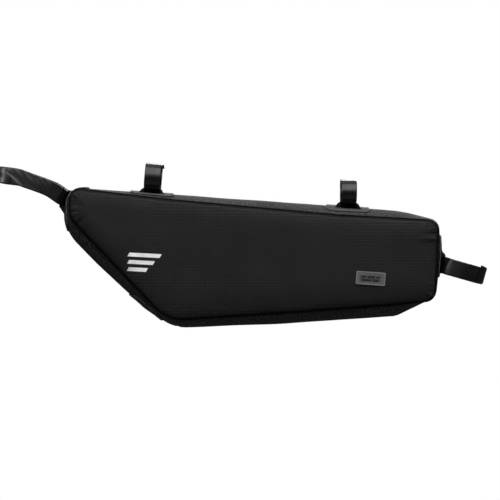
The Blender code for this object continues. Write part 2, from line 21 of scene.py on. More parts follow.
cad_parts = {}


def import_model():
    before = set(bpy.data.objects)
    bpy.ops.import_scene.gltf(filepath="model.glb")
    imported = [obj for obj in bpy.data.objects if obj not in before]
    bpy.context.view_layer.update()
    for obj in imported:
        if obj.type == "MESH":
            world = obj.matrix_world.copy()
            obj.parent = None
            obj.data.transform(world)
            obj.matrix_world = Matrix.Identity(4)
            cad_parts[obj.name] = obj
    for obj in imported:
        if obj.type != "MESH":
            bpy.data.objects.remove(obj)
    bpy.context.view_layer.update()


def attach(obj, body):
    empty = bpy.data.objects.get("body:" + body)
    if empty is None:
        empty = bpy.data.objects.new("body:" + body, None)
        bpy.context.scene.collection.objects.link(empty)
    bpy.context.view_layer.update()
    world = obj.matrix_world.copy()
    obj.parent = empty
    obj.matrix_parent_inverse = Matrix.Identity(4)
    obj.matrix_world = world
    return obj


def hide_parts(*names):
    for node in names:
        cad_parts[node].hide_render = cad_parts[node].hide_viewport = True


MM = 0.001
CLOTH_MAP = "cloth"
RIM = "rim"

log = logging.getLogger("bag")

Colour = tuple[float, float, float]
Lay = Callable[[np.ndarray, float], np.ndarray]


class Side(Enum):
    """The two sides of the bag, with the sign of Y on each."""

    FRONT = -1
    BACK = 1


class Corner(NamedTuple):
    """One corner of the side view, as shares of the bag's length and height."""

    name: str
    x: float
    z: float
    radius: float
    seam_x: float
    seam_z: float
    seam_radius: float


CORNERS = (
    Corner("nose_top", 0.000, 1.005, 0.14, 0.020, 0.993, 0.07),
    Corner("top_front", 0.265, 0.956, 2.15, 0.268, 0.913, 2.10),
    Corner("top_rear", 0.729, 0.867, 2.15, 0.727, 0.799, 2.10),
    Corner("top_break", 0.896, 0.832, 0.50, 0.886, 0.777, 1.40),
    Corner("tail_top", 0.994, 0.764, 0.08, 0.988, 0.762, 0.08),
    Corner("tail_mid", 1.001, 0.530, 0.90, 0.985, 0.500, 2.10),
    Corner("tail_bottom", 0.986, 0.222, 0.09, 0.979, 0.197, 0.08),
    Corner("heel", 0.880, 0.080, 0.09, 0.876, 0.169, 0.40),
    Corner("bottom_break", 0.585, 0.027, 2.15, 0.584, 0.110, 2.10),
    Corner("toe", 0.285, -0.004, 0.29, 0.275, 0.055, 0.36),
    Corner("slope_low", 0.175, 0.230, 1.40, 0.210, 0.237, 2.10),
    Corner("slope_break", 0.092, 0.433, 1.07, 0.153, 0.399, 1.40),
    Corner("nose_bottom", 0.000, 0.688, 0.29, 0.014, 0.791, 0.14),
)


def flat_direction(start: Vector, end: Vector) -> Vector:
    """Return the unit vector from start to end."""
    return (end - start).normalized()


def turned(vector: Vector, angle: float) -> Vector:
    """Return a flat vector turned anticlockwise by an angle."""
    cosine, sine = math.cos(angle), math.sin(angle)
    return Vector((cosine * vector.x - sine * vector.y, sine * vector.x + cosine * vector.y))


def in_space(flat: Vector, y: float) -> Vector:
    """Return the point in space of a flat point at a depth."""
    return Vector((flat.x, y, flat.y))


def eased(value: float) -> float:
    """Return a smooth step from 0 to 1."""
    value = min(max(value, 0.0), 1.0)
    return value * value * (3 - 2 * value)


def smooth(values: np.ndarray) -> np.ndarray:
    """Return a smooth step from 0 to 1 for every value."""
    clipped = np.clip(values, 0.0, 1.0)
    return clipped * clipped * (3 - 2 * clipped)


def signed_power(value: float, power: float) -> float:
    """Return a power of a value's size, with the value's sign."""
    return math.copysign(abs(value) ** power, value)


def drift(x: float, y: float, z: float) -> float:
    """Return gentle noise around 0 that is the same on each run."""
    return noise.noise(Vector((x, y, z)))


class Fillet:
    """A round bend at one corner of a chain of straight runs."""

    def __init__(self, before: Vector, corner: Vector, after: Vector, radius: float) -> None:
        """Fit the bend.

        Args:
            before: The corner before this one.
            corner: This corner.
            after: The corner after it.
            radius: The bend's radius, less where the runs are too short for it.
        """
        back, ahead = flat_direction(corner, before), flat_direction(corner, after)
        self.turn = -back.angle_signed(-ahead)
        half = max(abs(self.turn) / 2, 1e-4)
        room = 0.48 * min((before - corner).length, (after - corner).length)
        reach = min(radius * math.tan(half), room)
        self.radius = reach / math.tan(half)
        self.start = corner + back * reach
        self.end = corner + ahead * reach
        self.centre = corner + (back + ahead).normalized() * self.radius / math.cos(half)
        self.length = self.radius * abs(self.turn)

    def point(self, share: float) -> Vector:
        """Return the point at a share of the bend."""
        return self.centre + turned(self.start - self.centre, self.turn * share)


class Outline:
    """A closed chain of fillets and straight runs, clockwise, with its outside on the left."""

    def __init__(self, corners: Sequence[Vector], radii: Sequence[float]) -> None:
        """Fit a bend at each corner.

        Args:
            corners: The corners in order.
            radii: The radius at each corner.
        """
        count = len(corners)
        self.bends = [
            Fillet(corners[i - 1], corners[i], corners[(i + 1) % count], radii[i])
            for i in range(count)
        ]
        self.lengths: list[float] = []
        for index, bend in enumerate(self.bends):
            following = self.bends[(index + 1) % count]
            self.lengths += [bend.length, (following.start - bend.end).length]

    def point(self, element: int, share: float) -> Vector:
        """Return a point on an element: even ones are bends, odd ones straight runs."""
        bend = self.bends[element // 2]
        if element % 2 == 0:
            return bend.point(share)
        following = self.bends[(element // 2 + 1) % len(self.bends)]
        return bend.end.lerp(following.start, share)

    def normal(self, element: int, share: float) -> Vector:
        """Return the outward direction at a point on an element."""
        bend = self.bends[element // 2]
        if element % 2 == 0:
            sign = -1 if bend.turn > 0 else 1
            return flat_direction(bend.centre, bend.point(share)) * sign
        following = self.bends[(element // 2 + 1) % len(self.bends)]
        return turned(flat_direction(bend.end, following.start), math.pi / 2)

    def distance(self, element: int, share: float) -> float:
        """Return the length from the outline's start to a point on an element."""
        return sum(self.lengths[:element]) + self.lengths[element] * share

    def locate(self, distance: float) -> tuple[int, float]:
        """Return the element and the share at a distance from the outline's start."""
        distance %= sum(self.lengths)
        for element, length in enumerate(self.lengths):
            if distance <= length:
                return element, distance / length
            distance -= length
        return len(self.lengths) - 1, 1.0

    def samples(self, step: float) -> list[tuple[int, float]]:
        """Return elements and shares about a step apart."""
        places = []
        for element, length in enumerate(self.lengths):
            steps = max(1, round(length / step))
            places += [(element, index / steps) for index in range(steps)]
        return places


@dataclass
class BagShape:
    """The bag's outlines and surfaces, which all the sub-assemblies share."""

    length: float = 449 * MM
    height: float = 167 * MM
    seam_width: float = 46 * MM
    nose_x: float = -222 * MM
    top_z: float = -5 * MM
    crown: float = 7.0 * MM
    crown_run_top: float = 14 * MM
    crown_run_bottom: float = 45 * MM
    gap: float = 0.3 * MM
    sample_step: float = 1.25 * MM
    middle: Outline = field(init=False)
    seam: Outline = field(init=False)
    places: list[tuple[int, float]] = field(init=False)
    seam_points: np.ndarray = field(init=False)
    seam_along: np.ndarray = field(init=False)

    def __post_init__(self) -> None:
        """Work out both outlines and sample them."""
        self.middle = Outline(
            [self.on_bag(c.x, c.z) for c in CORNERS], [c.radius * self.height for c in CORNERS]
        )
        self.seam = Outline(
            [self.on_bag(c.seam_x, c.seam_z) for c in CORNERS],
            [c.seam_radius * self.height for c in CORNERS],
        )
        self.places = self.seam.samples(self.sample_step)
        self.seam_points = np.array([self.seam.point(*place) for place in self.places])
        self.seam_along = np.array([self.seam.distance(*place) for place in self.places])

    def on_bag(self, x_share: float, z_share: float) -> Vector:
        """Return the flat point at shares of the bag's length and height."""
        return Vector(
            (self.nose_x + self.length * x_share, self.top_z - self.height * (1 - z_share))
        )

    def seam_corner(self, name: str) -> Vector:
        """Return the flat place of a named corner of the seam."""
        corner = next(corner for corner in CORNERS if corner.name == name)
        return self.on_bag(corner.seam_x, corner.seam_z)

    @staticmethod
    def corner_along(outline: Outline, name: str) -> float:
        """Return the length along an outline to the middle of a named corner."""
        index = [corner.name for corner in CORNERS].index(name)
        return outline.distance(2 * index, 0.5)

    def gusset_inset(self, element: int, share: float, y: float) -> Vector:
        """Return how far the gusset has moved in from the middle outline at a depth."""
        middle, seam = self.middle.point(element, share), self.seam.point(element, share)
        return (seam - middle) * (2 * y / self.seam_width) ** 2

    def gusset_point(self, element: int, share: float, y: float, height: float = 0.0) -> Vector:
        """Return a point at a height above the gusset's outer face."""
        flat = self.middle.point(element, share) + self.gusset_inset(element, share, y)
        return in_space(flat + self.middle.normal(element, share) * height, y)

    def gusset_at(self, along: float, y: float, height: float) -> Vector:
        """Return a point at a height above the gusset, at a length along its middle."""
        return self.gusset_point(*self.middle.locate(along), y, height)

    def measure(self, flats: np.ndarray) -> tuple[np.ndarray, np.ndarray]:
        """Measure flat points against the seam.

        Args:
            flats: The points, one a row.

        Returns:
            Each point's distance from the seam, and the length along the seam of its nearest
            place.
        """
        starts = self.seam_points
        runs = np.roll(starts, -1, axis=0) - starts
        squares = (runs ** 2).sum(axis=1)
        distances, alongs = np.empty(len(flats)), np.empty(len(flats))
        for first in range(0, len(flats), 2000):
            batch = flats[first:first + 2000]
            offsets = batch[:, None, :] - starts[None, :, :]
            shares = np.clip((offsets * runs).sum(axis=2) / squares, 0.0, 1.0)
            gaps = np.linalg.norm(offsets - shares[:, :, None] * runs, axis=2)
            nearest = gaps.argmin(axis=1)
            rows = np.arange(len(batch))
            distances[first:first + 2000] = gaps[rows, nearest]
            lengths = np.sqrt(squares[nearest])
            alongs[first:first + 2000] = self.seam_along[nearest] + shares[rows, nearest] * lengths
        return distances, alongs

    def crown_height(self, flats: np.ndarray, distances: np.ndarray) -> np.ndarray:
        """Return how far a side panel stands out from its seam plane."""
        down = np.clip((self.top_z - flats[:, 1]) / self.height, 0.0, 1.0)
        runs = self.crown_run_top + (self.crown_run_bottom - self.crown_run_top) * down
        shares = np.clip(distances / runs, 0.0, 1.0)
        return self.crown * np.sqrt(shares * (2 - shares))


@dataclass
class Surface:
    """Points and faces, with a cloth map for each corner of a face and a rim value a point."""

    points: np.ndarray
    faces: list[tuple[int, ...]]
    cloth_map: list[tuple[float, float]]
    rim: np.ndarray

    @staticmethod
    def joined(parts: Sequence[Surface]) -> Surface:
        """Return several surfaces as one."""
        faces: list[tuple[int, ...]] = []
        cloth_map: list[tuple[float, float]] = []
        first = 0
        for part in parts:
            faces += [tuple(first + index for index in face) for face in part.faces]
            cloth_map += part.cloth_map
            first += len(part.points)
        return Surface(
            np.concatenate([part.points for part in parts]),
            faces,
            cloth_map,
            np.concatenate([part.rim for part in parts]),
        )


def loft(
    rings: np.ndarray,
    along: Sequence[float],
    across: Sequence[float],
    closed: bool,
    rim: np.ndarray | None = None,
) -> Surface:
    """Join closed rings of points.

    Args:
        rings: The rings' points, as an array of rings, points and coordinates.
        along: The cloth map's value for each ring, and one more where closed.
        across: Its value for each point of a ring, and one more for the way round.
        closed: Whether the last ring meets the first. Else both ends are filled.
        rim: The rim values, or None for none.

    Returns:
        The surface.
    """
    count, width = rings.shape[:2]
    faces: list[tuple[int, ...]] = []
    cloth_map: list[tuple[float, float]] = []
    for ring in range(count if closed else count - 1):
        upper = (ring + 1) % count
        for point in range(width):
            beside = (point + 1) % width
            faces.append((
                ring * width + point, ring * width + beside,
                upper * width + beside, upper * width + point,
            ))
            cloth_map += [
                (along[ring], across[point]), (along[ring], across[point + 1]),
                (along[ring + 1], across[point + 1]), (along[ring + 1], across[point]),
            ]
    if not closed:
        for ring, order in ((0, -1), (count - 1, 1)):
            faces.append(tuple(ring * width + point for point in range(width))[::order])
            cloth_map += [(along[ring], across[point]) for point in range(width)][::order]
    values = np.zeros(count * width) if rim is None else rim.ravel()
    return Surface(rings.reshape(-1, 3), faces, cloth_map, values)


def tube(line: Sequence[tuple[Vector, Vector, Vector, float]], sides: int) -> np.ndarray:
    """Return the rings of a round tube.

    Args:
        line: The middle of each ring, two directions across the tube, and its radius.
        sides: How many points a ring has.

    Returns:
        The rings' points, as an array of rings, points and coordinates.
    """
    turns = math.tau * np.arange(sides) / sides
    rings = []
    for middle, aside, up, radius in line:
        spread = np.outer(np.cos(turns), aside) + np.outer(np.sin(turns), up)
        rings.append(np.array(middle) + radius * spread)
    return np.array(rings)


def inside(loop: np.ndarray, flats: np.ndarray) -> np.ndarray:
    """Return which flat points lie inside a loop."""
    found = np.zeros(len(flats), bool)
    x, z = flats[:, 0], flats[:, 1]
    for start, end in zip(loop, np.roll(loop, -1, axis=0)):
        if start[1] == end[1]:
            continue
        crosses = (start[1] > z) != (end[1] > z)
        edge = start[0] + (z - start[1]) * (end[0] - start[0]) / (end[1] - start[1])
        found ^= crosses & (x < edge)
    return found


def triangulated(loops: Sequence[np.ndarray], fill: np.ndarray) -> tuple[np.ndarray, list]:
    """Fill the area inside the first loop and outside the others with triangles.

    Args:
        loops: The outer loop and the holes.
        fill: Further points inside the area.

    Returns:
        The flat points and the triangles.
    """
    edges, first = [], 0
    for loop in loops:
        count = len(loop)
        edges += [(first + i, first + (i + 1) % count) for i in range(count)]
        first += count
    coordinates = [Vector(point) for point in np.concatenate([*loops, fill])]
    made, _, faces, *_ = delaunay_2d_cdt(coordinates, edges, [], 0, 1e-7)
    flats = np.array(made)
    middles = flats[np.array(faces)].mean(axis=1)
    kept = inside(loops[0], middles)
    for loop in loops[1:]:
        kept &= ~inside(loop, middles)
    triangles = [tuple(face) for face, keep in zip(faces, kept) if keep]
    used = sorted({index for face in triangles for index in face})
    places = {index: place for place, index in enumerate(used)}
    return flats[used], [tuple(places[index] for index in face) for face in triangles]


def hexagonal(low: np.ndarray, high: np.ndarray, step: float) -> np.ndarray:
    """Return points on a grid of equal triangles between two corners."""
    points = []
    for row, z in enumerate(np.arange(low[1], high[1], step * math.sqrt(3) / 2)):
        shift = step / 2 if row % 2 else 0.0
        points += [(x, z) for x in np.arange(low[0] + shift, high[0], step)]
    return np.array(points)


def plate(
    loops: Sequence[np.ndarray],
    step: float,
    low: float,
    high: float,
    place: Lay,
    round_off: float = 0.0,
) -> Surface:
    """Cut a thin plate of a flat shape and lay it on a surface.

    Args:
        loops: The outer loop and the holes, in the plate's own flat coordinates.
        step: The length of its triangles.
        low: The height of its underside.
        high: The height of its top.
        place: Gives points in space from flat points and a height.
        round_off: How far its upper edge is rounded off.

    Returns:
        The closed plate.
    """
    grid = hexagonal(loops[0].min(axis=0), loops[0].max(axis=0), step)
    clear = inside(loops[0], grid)
    for loop in loops:
        near = np.linalg.norm(grid[:, None, :] - loop[None, :, :], axis=2).min(axis=1)
        clear &= near > 0.5 * step
    for loop in loops[1:]:
        clear &= ~inside(loop, grid)
    flats, triangles = triangulated(loops, grid[clear])
    count = len(flats)
    sides: dict[tuple[int, int], int] = {}
    for a, b, c in triangles:
        for edge in ((a, b), (b, c), (c, a)):
            sides[edge] = sides.get(edge, 0) + 1
    border = [edge for edge in sides if edge[::-1] not in sides]
    faces: list[tuple[int, ...]] = [face[::-1] for face in triangles]
    faces += [tuple(2 * count + index for index in face) for face in triangles]
    for a, b in border:
        faces.append((a, b, count + b, count + a))
        faces.append((count + a, count + b, 2 * count + b, 2 * count + a))
    inner = flats.copy()
    ahead = {a: b for a, b in border}
    behind = {b: a for a, b in border}
    for index, following in ahead.items():
        run = flats[following] - flats[behind[index]]
        length = np.linalg.norm(run)
        if length > 0:
            inner[index] += round_off * np.array((-run[1], run[0])) / length
    layers = [place(flats, low), place(flats, high - round_off), place(inner, high)]
    whole = np.concatenate([flats, flats, inner])
    cloth_map = [tuple(whole[index]) for face in faces for index in face]
    rim = np.zeros(3 * count)
    for index in ahead:
        rim[[index, count + index, 2 * count + index]] = 1.0
    return Surface(np.concatenate(layers), faces, cloth_map, rim)


def make_piece(
    name: str, surface: Surface, finish: bpy.types.Material,
    sharp: float = 50.0, bevel: float = 0.0,
) -> bpy.types.Object:
    """Turn a surface into a piece that moves with the bag.

    Args:
        name: The piece's name.
        surface: Its points and faces.
        finish: Its material.
        sharp: The angle in degrees above which its edges are sharp.
        bevel: The width that its edges are rounded by, or 0 for none.

    Returns:
        The new object.
    """
    mesh = bpy.data.meshes.new(name)
    mesh.from_pydata(surface.points.tolist(), [], surface.faces)
    layer = mesh.uv_layers.new(name=CLOTH_MAP)
    layer.data.foreach_set("uv", np.array(surface.cloth_map, np.float32).ravel())
    attribute = mesh.attributes.new(RIM, "FLOAT", "POINT")
    attribute.data.foreach_set("value", surface.rim.astype(np.float32))
    shape = bmesh.new()
    shape.from_mesh(mesh)
    for loose in [vert for vert in shape.verts if not vert.link_faces]:
        shape.verts.remove(loose)
    bmesh.ops.recalc_face_normals(shape, faces=shape.faces)
    shape.to_mesh(mesh)
    shape.free()
    mesh.materials.append(finish)
    piece = bpy.data.objects.new(name, mesh)
    bpy.context.scene.collection.objects.link(piece)
    if bevel:
        edge = piece.modifiers.new("edge", "BEVEL")
        edge.width, edge.segments = bevel, 2
        edge.limit_method, edge.angle_limit = "ANGLE", math.radians(55)
        apply_modifiers(piece)
    piece.data.shade_smooth()
    piece.data.set_sharp_from_angle(angle=math.radians(sharp))
    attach(piece, "root")
    log.info("%s: %d faces", name, len(piece.data.polygons))
    return piece


class Graph:
    """A node tree with short calls for the nodes that the finishes use."""

    def __init__(self, tree: bpy.types.NodeTree) -> None:
        """Keep the tree."""
        self.tree = tree

    def node(self, kind: str, **settings: object) -> bpy.types.Node:
        """Return a new node with its settings."""
        made = self.tree.nodes.new(kind)
        for name, value in settings.items():
            setattr(made, name, value)
        return made

    def feed(self, socket: bpy.types.NodeSocket, value: object) -> None:
        """Link a socket into another, or set its plain value."""
        if isinstance(value, bpy.types.NodeSocket):
            self.tree.links.new(value, socket)
        else:
            socket.default_value = value

    def math(self, operation: str, *values: object, clamp: bool = False) -> bpy.types.NodeSocket:
        """Return the result of a Math node."""
        made = self.node("ShaderNodeMath", operation=operation, use_clamp=clamp)
        for socket, value in zip(made.inputs, values):
            self.feed(socket, value)
        return made.outputs[0]

    def stretched(
        self, value: object, low: object, high: object, new_low: float = 0.0, new_high: float = 1.0
    ) -> bpy.types.NodeSocket:
        """Return a value stretched smoothly from one range to another."""
        made = self.node("ShaderNodeMapRange", interpolation_type="SMOOTHSTEP")
        for socket, number in zip(made.inputs, (value, low, high, new_low, new_high)):
            self.feed(socket, number)
        return made.outputs[0]

    def split(self, place: object) -> bpy.types.NodeOutputs:
        """Return the X, Y and Z of a place."""
        parts = self.node("ShaderNodeSeparateXYZ")
        self.feed(parts.inputs[0], place)
        return parts.outputs

    def fill(self, node: bpy.types.Node, values: dict[str, object]) -> None:
        """Link or set a node's inputs by their names."""
        for name, value in values.items():
            self.feed(node.inputs[name], value)

    def noise(self, place: object, scale: object, detail: float = 2.0) -> bpy.types.NodeSocket:
        """Return the value of a Noise Texture."""
        made = self.node("ShaderNodeTexNoise")
        self.feed(made.inputs["Vector"], place)
        self.feed(made.inputs["Scale"], scale)
        made.inputs["Detail"].default_value = detail
        return made.outputs[0]

    def mixed(self, share: object, first: object, second: object) -> bpy.types.NodeSocket:
        """Return a mix of two colours."""
        made = self.node("ShaderNodeMix", data_type="RGBA")
        self.feed(made.inputs[0], share)
        for socket, colour in ((made.inputs[6], first), (made.inputs[7], second)):
            if isinstance(colour, tuple):
                socket.default_value = (*colour, 1.0)
            else:
                self.feed(socket, colour)
        return made.outputs[2]

    def bump(self, height: object, distance: float, strength: float) -> bpy.types.NodeSocket:
        """Return the normal of a Bump node."""
        made = self.node("ShaderNodeBump")
        made.inputs["Strength"].default_value = strength
        made.inputs["Distance"].default_value = distance
        self.feed(made.inputs["Height"], height)
        return made.outputs[0]


class Effect(Enum):
    """The shared effects, by the names of their node groups."""

    CHECK = "checked weave"
    YARN = "plain yarn"
    MOTTLE = "mottled tone"
    LINT = "lint"


class Effects:
    """The shader node groups that several finishes use, each built once."""

    def __init__(self) -> None:
        """Start with no group."""
        self.groups: dict[Effect, bpy.types.NodeTree] = {}

    def start(
        self, effect: Effect, inputs: dict[str, float], outputs: Sequence[str]
    ) -> tuple[Graph, bpy.types.Node, bpy.types.Node]:
        """Start a group that takes a Place and further numbers.

        Args:
            effect: Which effect it is.
            inputs: The names of its number inputs and their plain values.
            outputs: The names of its number outputs.

        Returns:
            The group's graph, its input node and its output node.
        """
        tree = bpy.data.node_groups.new(effect.value, "ShaderNodeTree")
        tree.interface.new_socket(name="Place", in_out="INPUT", socket_type="NodeSocketVector")
        for name, value in inputs.items():
            socket = tree.interface.new_socket(
                name=name, in_out="INPUT", socket_type="NodeSocketFloat"
            )
            socket.default_value = value
        for name in outputs:
            tree.interface.new_socket(name=name, in_out="OUTPUT", socket_type="NodeSocketFloat")
        self.groups[effect] = tree
        graph = Graph(tree)
        return graph, graph.node("NodeGroupInput"), graph.node("NodeGroupOutput")

    def check(self) -> None:
        """Build the checked weave: dark dots where the thicker yarns cross."""
        inputs = {"Across": 3.1 * MM, "Up": 3.7 * MM, "Dot": 0.55}
        graph, given, out = self.start(Effect.CHECK, inputs, ("Dots", "Lines", "Height"))
        parts = graph.split(given.outputs["Place"])
        waves = []
        for axis, pitch in (("X", "Across"), ("Y", "Up")):
            turns = graph.math("DIVIDE", parts[axis], given.outputs[pitch])
            angle = graph.math("MULTIPLY", turns, math.tau)
            waves.append(graph.math("MULTIPLY_ADD", graph.math("COSINE", angle), 0.5, 0.5))
        low, high = (graph.math("ADD", given.outputs["Dot"], soft) for soft in (-0.2, 0.2))
        dots = graph.stretched(graph.math("MULTIPLY", *waves), low, high)
        lines = graph.stretched(graph.math("MAXIMUM", *waves), 0.72, 0.97)
        height = graph.math("SUBTRACT", lines, dots)
        graph.fill(out, {"Dots": dots, "Lines": lines, "Height": height})

    def yarn(self) -> None:
        """Build the plain weave of single yarns, one over and one under."""
        graph, given, out = self.start(Effect.YARN, {"Pitch": 0.55 * MM}, ("Height", "Shade"))
        parts = graph.split(given.outputs["Place"])
        waves = []
        for axis in ("X", "Y"):
            turns = graph.math("DIVIDE", parts[axis], given.outputs["Pitch"])
            waves.append(graph.math("SINE", graph.math("MULTIPLY", turns, math.pi)))
        height = graph.math("MULTIPLY_ADD", graph.math("MULTIPLY", *waves), 0.5, 0.5)
        patchy = graph.noise(given.outputs["Place"], 900.0, 1.0)
        # Shade is a painted highlight: lighter where the yarns rise, in random patches.
        graph.fill(out, {"Height": height, "Shade": graph.math("MULTIPLY", height, patchy)})

    def mottle(self) -> None:
        """Build the uneven tone of used cloth, in wide and in small patches."""
        inputs = {"Wide": 18.0, "Small": 240.0}
        graph, given, out = self.start(Effect.MOTTLE, inputs, ("Wide", "Small"))
        for name in inputs:
            value = graph.noise(given.outputs["Place"], given.outputs[name], 3.0)
            graph.feed(out.inputs[name], graph.stretched(value, 0.3, 0.7))

    def lint(self) -> None:
        """Build sparse pale specks and short fibres."""
        graph, given, out = self.start(Effect.LINT, {"Amount": 0.5}, ("Specks",))
        cells = graph.node("ShaderNodeTexVoronoi", feature="F1")
        graph.feed(cells.inputs["Vector"], given.outputs["Place"])
        cells.inputs["Scale"].default_value = 160.0
        speck = graph.stretched(cells.outputs["Distance"], 0.05, 0.12, 1.0, 0.0)
        where = graph.noise(given.outputs["Place"], 55.0, 1.0)
        chosen = graph.stretched(where, 0.60, 0.66)
        shown = graph.math("MULTIPLY", speck, chosen)
        graph.feed(out.inputs["Specks"], graph.math("MULTIPLY", shown, given.outputs["Amount"]))

    def build(self) -> None:
        """Build every group."""
        self.check()
        self.yarn()
        self.mottle()
        self.lint()

    def use(
        self, graph: Graph, effect: Effect, place: object, **values: float
    ) -> bpy.types.NodeOutputs:
        """Place a group in a material and return its outputs."""
        made = graph.node("ShaderNodeGroup")
        made.node_tree = self.groups[effect]
        graph.fill(made, {"Place": place, **values})
        return made.outputs


def cloth_place(graph: Graph) -> bpy.types.NodeSocket:
    """Return the place on a piece's cloth map, in metres along the cloth and across it."""
    return graph.node("ShaderNodeUVMap", uv_map=CLOTH_MAP).outputs[0]


def rim_value(graph: Graph) -> bpy.types.NodeSocket:
    """Return how near a place is to its piece's edge."""
    return graph.node("ShaderNodeAttribute", attribute_name=RIM).outputs["Fac"]


@dataclass(frozen=True)
class Finish:
    """What every finish has: its name, its colour and its roughness."""

    name: str
    colour: Colour
    roughness: float

    def start(self) -> tuple[Graph, bpy.types.Node, bpy.types.Material]:
        """Return a new material's graph, its shader and the material."""
        made = bpy.data.materials.new(self.name)
        made.use_nodes = True
        made.diffuse_color = (*self.colour, 1.0)
        return Graph(made.node_tree), made.node_tree.nodes["Principled BSDF"], made

    def tone(self, factor: float) -> Colour:
        """Return the colour made darker or lighter."""
        return tuple(channel * factor for channel in self.colour)

    def layered(
        self, graph: Graph, wide: object, spread: tuple[float, float],
        layers: Sequence[tuple[object, float]],
    ) -> bpy.types.NodeSocket:
        """Lay darker and lighter tones over each other.

        Args:
            graph: The material's graph.
            wide: The share that takes the ground from its first tone to its second.
            spread: The factors of the ground's two tones.
            layers: The share of each further layer, and the factor of its tone.

        Returns:
            The colour.
        """
        colour = graph.mixed(wide, self.tone(spread[0]), self.tone(spread[1]))
        for share, factor in layers:
            colour = graph.mixed(share, colour, self.tone(factor))
        return colour


@dataclass(frozen=True)
class CheckedCloth(Finish):
    """Coated nylon with a fine check of thicker yarns, as on the side panels."""

    contrast: float = 0.75
    dot: float = 0.30
    sheen: float = 0.003
    specular: float = 0.03

    def build(self, effects: Effects) -> bpy.types.Material:
        """Return the material."""
        graph, shader, made = self.start()
        place = cloth_place(graph)
        check = effects.use(graph, Effect.CHECK, place, Dot=self.dot)
        yarn = effects.use(graph, Effect.YARN, place)
        mottle = effects.use(graph, Effect.MOTTLE, place)
        lint = effects.use(graph, Effect.LINT, place, Amount=0.35)
        layers = (
            (check["Lines"], 1.0 + 0.9 * self.contrast),
            (graph.math("MULTIPLY", check["Dots"], self.contrast), 0.05),
            (graph.math("MULTIPLY", mottle["Small"], 0.35), 0.55),
            # painted shade: darker where the rim value is high, along the seam's ditch
            (rim_value(graph), 0.08),
            (lint["Specks"], 5.0),
        )
        rise = graph.math("MULTIPLY_ADD", yarn["Height"], 0.4, check["Height"])
        graph.fill(shader, {
            "Base Color": self.layered(graph, mottle["Wide"], (0.88, 1.12), layers),
            "Roughness": graph.stretched(mottle["Small"], 0, 1, self.roughness - 0.06, self.roughness),
            "Normal": graph.bump(rise, 0.12 * MM, 0.7),
            "Specular IOR Level": self.specular,
            "Sheen Weight": self.sheen,
            "Sheen Roughness": 0.45,
        })
        return made


@dataclass(frozen=True)
class PlainCloth(Finish):
    """Plain woven cloth with a blotchy tone, as on the gusset and the sewn patches.

    Its rim tone shows where a piece's rim value is 1; on the gusset it is painted shade along the
    seams, on a patch a painted highlight along its edge. Where that value is -1 it is less rough and
    painted black, a painted shade under a strap.
    """

    blotch: float = 0.5
    rim_tone: float = 1.4
    pitch: float = 0.9 * MM
    specular: float = 0.04

    def build(self, effects: Effects) -> bpy.types.Material:
        """Return the material."""
        graph, shader, made = self.start()
        place = cloth_place(graph)
        yarn = effects.use(graph, Effect.YARN, place, Pitch=self.pitch)
        mottle = effects.use(graph, Effect.MOTTLE, place, Small=430.0)
        lint = effects.use(graph, Effect.LINT, place, Amount=0.3)
        sharp = graph.stretched(mottle["Small"], 0.3, 0.7)
        # painted shade: -1 on a patch's strip under a strap, which paints it black and makes it less
        # rough
        strap_shade_and_smoother = graph.math("MULTIPLY", rim_value(graph), -1.0, clamp=True)
        layers = (
            (graph.math("MULTIPLY", sharp, self.blotch), 0.12),
            # painted highlight on the rising yarns
            (yarn["Shade"], 1.25),
            # rim tone: painted shade on the gusset's seams, a painted highlight on a patch's edge
            (graph.math("MULTIPLY", rim_value(graph), 0.8), self.rim_tone),
            (lint["Specks"], 4.0),
            (strap_shade_and_smoother, 0.22),
        )
        rough = graph.stretched(mottle["Small"], 0, 1, self.roughness - 0.08, self.roughness)
        graph.fill(shader, {
            "Base Color": self.layered(graph, mottle["Wide"], (0.85, 1.15), layers),
            "Roughness": graph.math("MULTIPLY_ADD", strap_shade_and_smoother, -0.25, rough),
            "Normal": graph.bump(yarn["Height"], 0.15 * MM, 0.6),
            "Specular IOR Level": self.specular,
            "Sheen Weight": 0.004,
            "Sheen Roughness": 0.4,
        })
        return made


@dataclass(frozen=True)
class Webbing(Finish):
    """Smooth black hook-and-loop webbing with a satin sheen and a ribbed weave."""

    rib: float = 0.8 * MM
    specular: float = 0.5

    def build(self, effects: Effects) -> bpy.types.Material:
        """Return the material."""
        graph, shader, made = self.start()
        place = cloth_place(graph)
        mottle = effects.use(graph, Effect.MOTTLE, place, Wide=30.0, Small=420.0)
        yarn = effects.use(graph, Effect.YARN, place, Pitch=self.rib)
        lint = effects.use(graph, Effect.LINT, place, Amount=0.25)
        layers = (
            # painted highlight on the rising yarns
            (graph.math("MULTIPLY", yarn["Shade"], 0.5), 1.6),
            (graph.math("MULTIPLY", rim_value(graph), 0.8), 0.25),
            (lint["Specks"], 6.0),
        )
        low, high = self.roughness - 0.05, self.roughness + 0.07
        rise = graph.math("MULTIPLY_ADD", mottle["Small"], 0.5, yarn["Height"])
        graph.fill(shader, {
            "Base Color": self.layered(graph, mottle["Wide"], (0.75, 1.3), layers),
            "Roughness": graph.stretched(mottle["Wide"], 0, 1, low, high),
            "Normal": graph.bump(rise, 0.05 * MM, 0.5),
            "Specular IOR Level": self.specular,
        })
        return made


